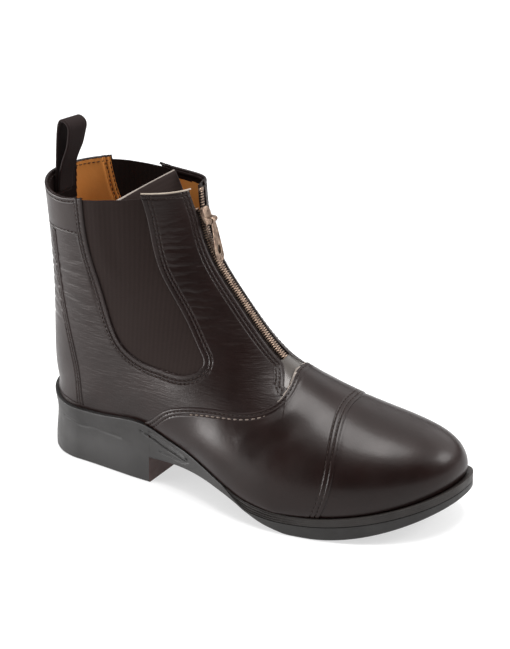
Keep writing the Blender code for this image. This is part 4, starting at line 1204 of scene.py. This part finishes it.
def sewing(quarters, vamp_panel, stay, band):
    """The rows of stitches that hold the panels together."""
    dark, lining = [], []
    for panel in quarters:
        for seam, levels in QUARTER_ROWS:
            for level in levels:
                rows = kept(panel.contour(seam, level), lambda p: p[:, 2] > SEWN_ABOVE)
                if seam == "front":
                    rows = kept(rows, lambda p: p[:, 2] > FRONT_SEWN_ABOVE)
                dark += rows
        for seam, level in LINING_ROWS:
            lining += inside(kept(panel.contour(seam, level), in_shaft))
    dark += vamp_panel.contour("rear", VAMP_ROWS[0])
    for level in CAP_ROWS:
        dark += vamp_panel.contour("front", level)
    for level in STAY_ROWS:
        dark += kept(stay.contour("edge", level), lambda p: p[:, 2] < BAND_LOW_BACK)
    dark += band.contour("low", BAND_ROWS[0]) + band.contour("top", COLLAR_ROWS[0])
    stitches("stitches", dark, THREAD)
    stitches("stitches_lining", lining, THREAD)
    rows = vamp_panel.contour("rear", VAMP_ROWS[1])
    # The upper stretch of the vamp's inner row is sewn in pale thread as a painted highlight; the rest of the
    # row is dark thread.
    stitches("stitches_vamp", between(rows, HIGHLIGHT_FROM, HIGHLIGHT_TO), THREAD_PAINTED_HIGHLIGHT, BOLD_STITCH)
    stitches("stitches_vamp_ends", between(rows, DARK_FROM, DARK_TO), THREAD)


# Zip

OTHER = {"lateral": "medial", "medial": "lateral"}
TAPE_FOOT_ROW = 8.03
TAPE_UNDER, TAPE_TUCKED = 6.0, 3.0   # how far the tape runs on under its panel, and further where tucked
TOOTH_PITCH, TOOTH_LONG, TOOTH_WIDE, TOOTH_HIGH, TOOTH_FOOT = 1.55, 0.8, 3.0, 1.3, -1.35
END_STOP = 2.4                 # how much longer the last tooth is
TUCK_DROP, TUCK_ROWS = 2.6, 0.25


def zip_point(s, distance, side, offset):
    """A point that far across from the ridge of section s, raised along the side view's normal.

    A negative distance lies across the ridge on the other side.
    """
    s, distance = np.asarray(s, float), float(distance)
    if distance < 0:
        side, distance = OTHER[side], -distance
    p = on_last(s, from_ridge(s, distance, side), side)
    step = unit(ridge(np.minimum(s + 0.05, LAST_ROW)) - ridge(s - 0.05))
    return p + offset * np.array([step[1], 0, -step[0]])


def tucked(s, side):
    """How far the open lateral side of the zip has turned in under its panel, from 0 to 1."""
    t = (s - SLIDER_ROW - TUCK_ROWS) / (COLLAR_ROW - SLIDER_ROW)
    return float(smooth(3.0 * t)) if side == "lateral" else 0.0


def tape_inner(s, side):
    """How far from the ridge the row of teeth begins: at the middle below the slider, apart above it."""
    return float(opening(s, side)) + SLIT[side] * tucked(s, side)


def solid(name, part, material, slot, sharp=None, **options):
    """A closed piece, merged and with its faces turned out."""
    return clean(make(name, *part, [material], slot=slot, **options), sharp)


def zip_tape(side):
    rings = []
    for s in np.linspace(TAPE_FOOT_ROW - 0.5, COLLAR_ROW - 0.02, 120):
        inner = tape_inner(s, side) + 0.15
        outer = SLIT[side] + float(opening(s, side)) + TAPE_UNDER + TAPE_TUCKED * tucked(s, side)
        shape = ((inner, -1.3), (inner + 0.6, -1.1), (inner + 1.6, -1.1), (inner + 2.6, -1.6),
                 (outer - 3.5, -2.4), (outer, -2.5), (outer, -3.1), (inner + 1.6, -2.6), (inner, -2.4))
        drop = TUCK_DROP * tucked(s, side)
        rings.append([zip_point(s, d, side, up - drop) for d, up in shape])
    solid("zip_tape_cloth_" + side, rings_mesh(rings), TAPE, "tape", 40, replaces=("zip_tape_" + side,))


def teeth(side):
    """A row of metal teeth, each a block with a narrower nose, from the throat to a stop at the collar."""
    rows = np.linspace(TAPE_FOOT_ROW + 0.1, COLLAR_ROW - 0.12, 2000)
    d = lengths(ridge(rows))
    shift = 0 if side == "lateral" else TOOTH_PITCH / 2
    made = []
    count = int((d[-1] - shift - TOOTH_LONG) / TOOTH_PITCH)
    for k in range(count + 1):
        where = shift + k * TOOTH_PITCH
        long = TOOTH_LONG * (END_STOP if k == count else 1)
        s = np.interp(where, d, rows)
        inner, drop = tape_inner(s, side), TUCK_DROP * tucked(s, side)
        nose = inner - (1.1 if inner < 0.3 else 0.7)
        across = ((nose, 0.62, 0.75), (inner + 0.5, 0.8, 0.9), (inner + 0.9, 1, 1),
                  (inner + TOOTH_WIDE - 0.3, 1, 0.95), (inner + TOOTH_WIDE, 0.8, 0.7))
        rings = []
        for distance, wide, high in across:
            half = long * wide / 2
            s0, s1 = np.interp([where - half, where + half], d, rows)
            low = TOOTH_FOOT - drop
            top = low + (TOOTH_HIGH + 0.35) * high
            corners = (s0, low), (s1, low), (s1, top - 0.15), ((s0 + s1) / 2, top), (s0, top - 0.15)
            rings.append([zip_point(at, distance, side, up) for at, up in corners])
        made.append(rings_mesh(rings))
    solid("zip_teeth_" + side, joined(made), BRASS, "zip_metal", 50)


STOP_FROM, STOP_WIDE = 10, 4.5   # how far the tab runs on under the vamp, and beside the slit


def throat_tab():
    """The small leather tab that shows between the zip's foot and the vamp's edge, its leather lightened as a
    painted highlight.
    """
    rings = []
    for s in np.linspace(float(ridge_row(VAMP_TOP + STOP_FROM)), TAPE_FOOT_ROW + 0.12, 30):
        top, low = [], []
        for t in np.linspace(-1, 1, 25):
            side = "lateral" if t < 0 else "medial"
            across = abs(t) * (float(slit_half(s, side)) + STOP_WIDE)
            top.append(zip_point(s, across, side, -0.75 - 0.9 * t**4))
            low.append(zip_point(s, across, side, -2.4))
        rings.append(top + low[::-1])
    solid("throat_tab", rings_mesh(rings), TAB, "leather", 50, replaces=("zip_stop",))


def zip_frame(s):
    """Origin on the ridge at section s, with axes along the zip downwards, across and outwards."""
    down = unit(ridge(s - 0.05) - ridge(s + 0.05))
    down = np.array([down[0], 0, down[1]])
    out = np.array([-down[2], 0, down[0]])
    return on_last(np.array(s), np.array(1.0), "medial"), np.stack([down, np.cross(out, down), out])


SLIDER_AT, SLIDER_AXES = zip_frame(SLIDER_ROW)
SLIDER_LONG, SLIDER_WIDE, SLIDER_ROUND, SLIDER_LOW, SLIDER_HIGH = 12.0, 8.6, 3.2, 0.7, 3.0
PIN_OUT, PIN_DOWN, PIN_RADIUS, PIN_END = 5.4, 3.0, 0.8, 0.55
LUG_GAP, LUG_THICK, LUG_ROUND, LUG_OVER = 5.2, 1.3, 1.6, 1.3
KNUCKLE, KNUCKLE_END = 2.0, 1.85
TAB_LONG, TAB_TOP, TAB_FOOT, TAB_THICK = 27.0, 5.0, 8.0, 1.5
TAB_NECK, TAB_ROUND = 1.2, 4
TAB_HOLE = TAB_LONG - 8, 3.0, 1.5
TAB_DROP, TAB_LEAN = 3.2, 1.6   # the tab curves in towards the zip and hangs a little askew


def on_slider(part):
    """A part's points carried from the slider's own axes to the boot."""
    points, faces = part
    return SLIDER_AT + points @ SLIDER_AXES, faces


def squircle(long, wide, power):
    """A rounded rectangle as points, in x along and y across."""
    turn = circle(40)
    x, y = (np.sign(v) * np.abs(v) ** (2 / power) for v in (np.cos(turn), np.sin(turn)))
    return np.stack([x * long / 2, y * wide / 2], -1)


def lathe(profile, centre):
    """A ring about an axis along y: the profile gives y and radius."""
    rings = []
    for turn in circle(28):
        c, s = math.cos(turn), math.sin(turn)
        rings.append([(centre[0] + r * c, y, centre[1] + r * s) for y, r in profile])
    return rings_mesh(rings, closed=True)


def barrel(reach, middle, end, core):
    """A lathe profile that is symmetrical about its middle, with small bevels at both ends."""
    half = [(reach - 0.2, middle), (reach, end), (reach, core)]
    return [(-y, r) for y, r in half[::-1]] + half


def zip_slider():
    """Two pressed shields with a waist between them, two lugs and the hinge pin."""
    body = squircle(SLIDER_LONG, SLIDER_WIDE, SLIDER_ROUND)
    body[:, 1] *= 1 - 0.22 * smooth((body[:, 0] + 2) / 8)
    levels = ((SLIDER_LOW, 0.94), (SLIDER_LOW + 0.25, 1.0), (1.45, 1.0), (1.75, 0.97), (1.95, 0.97),
              (2.2, 1.0), (SLIDER_HIGH - 0.3, 1.0), (SLIDER_HIGH - 0.06, 0.95), (SLIDER_HIGH + 0.1, 0.8),
              (SLIDER_HIGH + 0.18, 0.45))
    parts = [rings_mesh([np.c_[body * scale, np.full(len(body), z)] for z, scale in levels])]
    centre = PIN_OUT + LUG_OVER - LUG_ROUND
    for sign in (-1, 1):
        middle = sign * (LUG_GAP + LUG_THICK) / 2
        rings = []
        for y in np.array([-0.5, -0.42, 0.42, 0.5]) * LUG_THICK + middle:
            r = LUG_ROUND * (0.9 if abs(y - middle) > 0.45 * LUG_THICK else 1.0)
            turn = np.linspace(0, math.pi, 13)
            top = [(PIN_DOWN + r * math.cos(t), y, centre + r * math.sin(t)) for t in turn]
            front, back = ((PIN_DOWN + x, y, SLIDER_HIGH - 0.4) for x in (2.2, -2.6))
            rings.append([front, *top, back])
        parts.append(rings_mesh(rings))
    pin = barrel(LUG_GAP / 2 + LUG_THICK + 0.25, PIN_RADIUS, PIN_END, 0.05)
    parts.append(lathe(pin, (PIN_DOWN, PIN_OUT)))
    solid("zip_slider_body", on_slider(joined(parts)), BRASS, "zip_metal", 45, replaces=("zip_slider",))


def tab_edge(turn):
    """The pull tab's outline seen from its hole, at some angles, in x along the tab and y across."""
    r = np.linspace(0, 24, 1200)
    foot, found = TAB_LONG - TAB_ROUND, []
    for a in turn:
        x, y = TAB_HOLE[0] + r * np.cos(a), r * np.sin(a)
        half = np.interp(x, (TAB_NECK, 8, foot), (TAB_TOP / 2 - 0.4, TAB_TOP / 2 - 0.1, TAB_FOOT / 2))
        end = np.sqrt(np.clip(1 - ((x - TAB_LONG + TAB_ROUND) / TAB_ROUND) ** 2, 0, 1))
        half = np.where(x > foot, TAB_FOOT / 2 * end, half)
        good = (np.abs(y) <= half) & (x >= TAB_NECK)
        last = len(r) - 1 if good.all() else max(int(np.argmin(good)) - 1, 0)
        found.append((x[last], y[last]))
    return np.array(found)


# Section of the pull tab's rim, from its hole to its edge: share of the way and share of half the thickness
TAB_RIM = ((0.0, 0.70), (0.03, 0.98), (0.14, 0.98), (0.20, 0.66), (0.80, 0.62), (0.86, 0.98), (0.97, 1.0),
           (1.0, 0.7))


def zip_pull():
    """The swinging tab: a plate with raised rims round its edge and oval hole, and a knuckle on the pin."""
    turn = circle(72)
    outer = tab_edge(turn)
    x0, long, wide = TAB_HOLE
    inner = np.stack([x0 + long * np.cos(turn), wide * np.sin(turn)], -1)
    rings = []
    for sign, order in ((1, 1), (-1, -1)):
        for share, level in TAB_RIM[::order]:
            flat = inner + (outer - inner) * share
            rings.append(np.c_[flat, np.full(len(flat), sign * TAB_THICK / 2 * level)])
    knuckle = barrel((LUG_GAP - 0.8) / 2, KNUCKLE, KNUCKLE_END, PIN_RADIUS + 0.35)
    points, faces = joined([rings_mesh(rings, closed=True), lathe(knuckle, (0, 0))])
    along = np.clip(points[:, 0] / TAB_LONG, 0, 1)
    points[:, 2] -= TAB_DROP * along**1.4
    points[:, 1] -= TAB_LEAN * along
    part = on_slider((points + np.array([PIN_DOWN, 0, PIN_OUT]), faces))
    solid("zip_pull_tab", part, BRASS, "zip_metal", 45, body="zip_pull", replaces=("zip_pull",))


# Tongue and loop

TONGUE = table(
    "mid_x mid_z lateral_x lateral_z medial_x medial_z",
    (163, 82, 150, 70, 150, 70),
    (148, 96, 132, 82, 132, 82),
    (130, 113, 112, 96, 112, 98),
    (108, 134, 92, 118, 101, 120),
    (88, 158, 78, 148, 86, 150),
    (65, 184, 65, 184, 65.5, 184))
TONGUE_CLEAR, TONGUE_THICK = 4.0, 1.3
PIPING, PIPING_UP = 0.65, (0, 0, 0.3)   # radius and place of the pale piping along the tongue's top edge


def tongue():
    numbers = np.arange(len(TONGUE["mid_x"]))
    rows = ladder(numbers[-1], 90)
    col = {name: spline(numbers, values, rows) for name, values in TONGUE.items()}
    ends = {}
    for side in SIDES:
        ends[side] = on_side(np.stack([col[side + "_x"], col[side + "_z"]], -1), side)
        ends[side][:, 1] -= SIGN[side] * TONGUE_CLEAR
    a, b = ends["lateral"][:, None], ends["medial"][:, None]
    middle = np.stack([col["mid_x"], (a[:, 0, 1] + b[:, 0, 1]) / 2, col["mid_z"]], -1)[:, None]
    c = np.linspace(0, 1, 60)[None, :, None]
    grid = a + (b - a) * c + (middle - (a + b) / 2) * 4 * c * (1 - c)
    panel = Panel([(grid, False)], {}, lambda points, far: np.zeros(len(points)))
    slots = [GUARD, GUARD, PALE_EDGE_AND_HIGHLIGHT]
    panel.make("tongue_flap", slots, TONGUE_THICK, 1, 2, replaces=("tongue",), slot="guard")
    make("tongue_piping", *tube(grid[-1] + PIPING_UP, PIPING), [PALE_EDGE_AND_HIGHLIGHT], slot="guard")


LOOP_WIDE, LOOP_THICK = 15.0, 1.8
LOOP_RIM, HEM_DEEP, HEM_IN, HEM_WIDE = 0.8, 0.16, 1.7, 0.35
SKEW_LENGTH = 40               # carries the skew to a size like the other columns' while the path is smoothed
LOOP = table(
    "x z y skew",
    (9.0, 172, -6.5, 0.06), (9.0, 181, -6.3, 0.06), (9.0, 189.5, -5.4, 0.08), (8.9, 197, -4.2, 0.12),
    (9.0, 206, -3.3, 0.14), (10.2, 215, -3.25, 0.18), (13.8, 221, -3.25, 0.25), (17.8, 219, -3.25, 0.25),
    (18.2, 212, -3.25, 0.18), (16.4, 204, -3.3, 0.12), (14.0, 197, -4.2, 0.08), (12.2, 190, -5.4, 0.06),
    (11.2, 182, -6.3, 0.06), (11.0, 175, -6.5, 0.06))


def pull_loop():
    path = curve(np.stack([LOOP["x"], LOOP["z"], LOOP["y"], SKEW_LENGTH * LOOP["skew"]], -1), 170)
    middle, skew, path = path[:, 2], path[:, 3] / SKEW_LENGTH, path[:, :2]
    slope = unit(np.gradient(path, axis=0))
    normal = np.stack([-slope[:, 1], slope[:, 0]], -1)
    across = np.linspace(-1, 1, 41)
    across = LOOP_WIDE / 2 * np.sign(across) * (1 - (1 - np.abs(across)) ** 1.5)
    rim = np.sqrt(np.clip((LOOP_WIDE / 2 - np.abs(across)) / LOOP_RIM, 0, 1))
    hem = -HEM_DEEP * np.exp(-((LOOP_WIDE / 2 - np.abs(across) - HEM_IN) / HEM_WIDE) ** 2)
    rings = []
    for p, n, y, lean in zip(path, normal, middle, skew):
        ring = []
        for sign, order in ((1, 1), (-1, -1)):
            for v, r, h in zip(across[::order], rim[::order], hem[::order]):
                q = p + n * sign * (LOOP_THICK / 2 * (0.25 + 0.75 * r) + h)
                ring.append((q[0] + lean * v, y + v, q[1]))
        rings.append(ring)
    solid("loop_webbing", rings_mesh(rings), WEBBING, "webbing", replaces=("pull_loop",))


# Sole

STATION_COUNTS = 60, 230, 110
BREAST_STEPS = np.array([-0.9, -0.5, -0.2, -0.05, 0.05, 0.2, 0.5, 0.9])
REBATE, LIP = 5.5, 0.15
REBATE_FROM, REBATE_TO = 150.0, 174.0
SOLE_SHARP = 50


def stations(drawn_in, inset):
    """The x values along the sole: by angle round the heel and the toe, and evenly along the sides."""
    heel_n, side_n, toe_n = STATION_COUNTS
    back = drawn_in * HEEL_MARGIN + inset
    tip = SOLE_LENGTH - drawn_in * TOE_MARGIN - inset
    heel = HEEL_ARC - (HEEL_ARC - back) * np.cos(np.linspace(0, math.pi / 2, heel_n))
    sides = np.linspace(HEEL_ARC, BALL_X, side_n)[1:-1]
    sides = np.sort(np.r_[sides[abs(sides - BREAST_X) > 1.5], BREAST_X + BREAST_STEPS])
    toe = BALL_X + (tip - BALL_X) * np.sin(np.linspace(0, math.pi / 2, toe_n)) ** (2 / 2.2)
    return np.r_[heel, sides, toe]


def loop_of(drawn_in, inset, height, side):
    x = stations(drawn_in, inset)
    y = centre_y(x) + SIGN[side] * half_width(x, side, drawn_in, inset)
    return np.stack([x, y, height(x)], -1)


def loops_of(*row):
    return {side: loop_of(*row, side) for side in SIDES}


def sunk(loops, depth):
    """Loops of the sole's wall moved inwards by a depth worked out from their x and z."""
    made = {}
    for side, loop in loops.items():
        step = unit(np.gradient(loop[:, :2], axis=0))
        inward = SIGN[side] * np.stack([step[:, 1], -step[:, 0]], -1)
        made[side] = loop.copy()
        made[side][:, :2] += inward * depth(loop[:, 0], loop[:, 2])[:, None]
    return made


def across_sole(loops):
    """Points and faces through rings across the sole, down its lateral loops and up its medial ones."""
    rings = []
    for i in range(len(loops[0]["lateral"])):
        rings.append([loop["lateral"][i] for loop in loops] + [loop["medial"][i] for loop in loops[::-1]])
    return rings_mesh(rings)


def rebate(x):
    """Depth of the step on which the welt lies."""
    t = np.clip((x - REBATE_FROM) / (REBATE_TO - REBATE_FROM), 0, 1)
    return LIP + (REBATE - LIP) * smooth(t)


def sole_top(x):
    return feather_z(x) - 0.3


def ledge(x):
    return sole_top(x) - rebate(x)


# Lines moulded into the sole's side, as side-view points, each with its depth and width
SOLE_LINES = (
    (((20, 27.2), (29, 26.1), (36, 25.2), (44, 26.1), (52, 25.7), (59, 25.6), (67, 25.4)), 0.5, 0.85),
    (((84, 35), (89, 33.4), (95, 31.6), (101, 29.2), (107.5, 27.4), (114, 25.8), (121, 25.2), (120, 26.6)),
     1.0, 0.65),
    (((91, 36.5), (97, 34.6), (104, 32.2), (112, 29.6), (119, 27.2)), 0.5, 0.8),
    (((99, 24.5), (106.6, 23.6), (113, 23.0), (119, 23.1)), 0.6, 0.6))
FLARE = 1.5                    # how far the heel's wall is hollowed under its rim
STEP_DEEP, STEP_HIGH = 0.25, 26.0   # the heel's wall lies deeper below its moulded line


def wall_depth(x, z):
    """How far the sole's wall lies inside its outline: a hollow under the heel's rim, and moulded lines."""
    share = np.clip(z / ledge(x), 0, 1)
    heel = 1 - smooth((x - 60) / 50)
    depth = heel * FLARE * np.sin(math.pi * share**1.6) ** 1.5
    for points, deep, wide in SOLE_LINES:
        line = curve(points, 300)
        d = np.linalg.norm(np.stack([x, z], -1)[:, None] - line[None], axis=-1).min(axis=1)
        depth = depth + deep * np.exp(-(d / wide) ** 2)
    below = smooth((STEP_HIGH - z) / 1.5) * smooth((x - 18) / 6) * (1 - smooth((x - 64) / 16))
    return depth + STEP_DEEP * below


# Roundings of the wall's upper and lower edge: distance from the edge and inset
UPPER_ROUND = (0.0, 0.6), (0.15, 0.15), (0.5, 0.02), (1.0, 0.0)
LOWER_ROUND = (0.7, 0.25), (0.35, 0.5), (0.1, 0.9), (0.0, 1.5)
WALL_LOOPS, WALL_MARGIN = 46, 1.2


def wall_height(share):
    """Heights of a loop of the wall, a share of the way from its lower rounding to its upper one."""
    return lambda x: floor_z(x) + WALL_MARGIN + share * (ledge(x) - 2 * WALL_MARGIN - floor_z(x))


def outsole():
    made = [loops_of(1, 0.3, sole_top), loops_of(1, 0.3, ledge)]
    wall = [(inset, lambda x, d=d: ledge(x) - d) for d, inset in UPPER_ROUND]
    wall += [(0.0, wall_height(share)) for share in np.linspace(1.0, 0.0, WALL_LOOPS)]
    wall += [(inset, lambda x, d=d: floor_z(x) + d) for d, inset in LOWER_ROUND]
    made += [sunk(loops_of(0, *row), wall_depth) for row in wall]
    obj = make("sole_unit", *across_sole(made), [RUBBER, BREAST], replaces=("outsole",), slot="sole_rubber")
    clean(obj, SOLE_SHARP)
    breast = (BREAST_X + SHIFT[0]) * MM
    for face in obj.data.polygons:
        if abs(face.center.x - breast) < 0.8 * MM and face.normal.x > 0.7:
            face.material_index = 1


WELT_RIBS, RIB_DEEP, RIBS_FROM, RIBS_FADE, RIBS_LOST = 3.5, 0.85, 185, 30, 0.93


def welt():
    """The strip on the sole's step, ribbed at the waist and smoother round the toe."""
    def base(x):
        return ledge(x) + 0.15

    def top(x):
        return feather_z(x) - 0.1

    def part(share):
        return lambda x: base(x) + share * (top(x) - base(x))

    rows = [((1, -0.3, base), 0), ((0, 0.5, base), 0)]
    for share in np.linspace(0.04, 0.93, 44):
        rows.append(((0, 0.05, part(share)), 0.5 + 0.5 * math.cos(2 * math.pi * WELT_RIBS * share)))
    rows += [((0, 0.5, part(0.97)), 0), ((0, 1.0, top), 0), ((1, -0.6, top), 0), ((1, -0.3, part(0.9)), 0)]
    made = []
    for row, rib in rows:
        def deep(x, z):
            return RIB_DEEP * rib * (1 - RIBS_LOST * smooth((x - RIBS_FROM) / RIBS_FADE))
        made.append(sunk(loops_of(*row), deep))
    x = stations(0, 0)
    first = int(np.argmax(x > REBATE_FROM + 5))
    rings = [[loop["lateral"][i] for loop in made] for i in range(first, len(x))]
    rings += [[loop["medial"][i] for loop in made] for i in range(len(x) - 2, first - 1, -1)]
    solid("welt_strip", rings_mesh(rings), WELT, "sole_rubber", SOLE_SHARP, replaces=("welt",))


# The footbed's loops: inset from the feather line and height over it
FOOTBED = (6.2, 3.5), (5.3, 3.2), (5.0, 2.5), (5.0, 0.1)


def insole():
    made = [loops_of(1, inset, lambda x, up=up: feather_z(x) + up) for inset, up in FOOTBED]
    solid("footbed", across_sole(made), TAN, "footbed", SOLE_SHARP, replaces=("insole",))


# Floor, light and camera

CAMERA_AZIMUTH, CAMERA_ELEVATION = 31.5, 24.5
CAMERA_AWAY = 1400.0
CAMERA_TARGET = 146.7, 0.0, 110.0
FOCAL_PIXELS, PHOTO_HIGH = 2270.0, 649
FLOOR_REACH = 30

# Suns with their direction, spread in degrees and strength, then area lights with place, aim, size and power
SUNS = ("overhead", (0.04, -0.02, 1.0), 32, 3.0), ("dome", (-0.1, 0.35, 0.9), 110, 2.2)
AREA_LIGHTS = (
    ("behind", (0.6, 1.4, 0.95), (0.05, 0, 0.06), (1.6, 0.9), 5),
    ("left", (-0.66, -0.46, 0.105), (-0.10, -0.03, 0.07), (0.7, 0.2), 8),
    ("toe", (1.04, 0.61, 0.74), (0.133, 0, 0.05), (0.5, 0.5), 9))


def facing(direction):
    """Rotation of a light or camera that looks against a direction."""
    return Vector(direction).to_track_quat("Z", "Y").to_euler()


def camera():
    data = bpy.data.cameras.new("camera")
    data.sensor_fit = "VERTICAL"
    data.sensor_height = 36.0
    data.lens = FOCAL_PIXELS / PHOTO_HIGH * data.sensor_height
    obj = link("camera", data)
    a, e = math.radians(CAMERA_AZIMUTH), math.radians(CAMERA_ELEVATION)
    back = Vector((math.sin(a) * math.cos(e), -math.cos(a) * math.cos(e), math.sin(e)))
    obj.location = Vector(place(CAMERA_TARGET)) + back * CAMERA_AWAY * MM
    obj.rotation_euler = facing(back)
    bpy.context.scene.camera = obj


def lights():
    for name, toward, spread, power in SUNS:
        data = bpy.data.lights.new(name, "SUN")
        data.energy = power
        data.angle = math.radians(spread)
        link(name, data).rotation_euler = facing(toward)
    for name, where, aim, size, power in AREA_LIGHTS:
        data = bpy.data.lights.new(name, "AREA")
        data.shape = "RECTANGLE"
        data.size, data.size_y = size
        data.energy = power
        obj = link(name, data)
        obj.location = where
        obj.rotation_euler = facing(Vector(where) - Vector(aim))


def stage():
    material, _, shader = new_material("pale_floor")
    adjust(shader, Base_Color=(0.40, 0.40, 0.40, 1), Roughness=0.7, Specular_IOR_Level=0.1)
    adjust(shader, Emission_Color=(1, 1, 1, 1), Emission_Strength=0.62)
    mesh = bpy.data.meshes.new("floor")
    r = FLOOR_REACH
    mesh.from_pydata([(-r, -r, 0), (r, -r, 0), (r, r, 0), (-r, r, 0)], [], [(0, 1, 2, 3)])
    mesh.materials.append(material)
    link("floor", mesh)
    world = bpy.data.worlds.new("studio")
    bpy.context.scene.world = world
    world.use_nodes = True
    adjust(world.node_tree.nodes["Background"], Color=(1, 1, 1, 1), Strength=0.15)
    lights()
    bpy.context.scene.view_settings.view_transform = "Standard"


# The boot

outsole()
welt()
insole()
QUARTERS = [quarter(name) for name in SIDES]
for name in SIDES:
    gore(name)
    zip_tape(name)
    teeth(name)
throat_tab()
zip_slider()
zip_pull()
toe_cap()
sewing(QUARTERS, vamp(), backstay(), collar_band())
forefoot_lining()
tongue()
pull_loop()
camera()
stage()
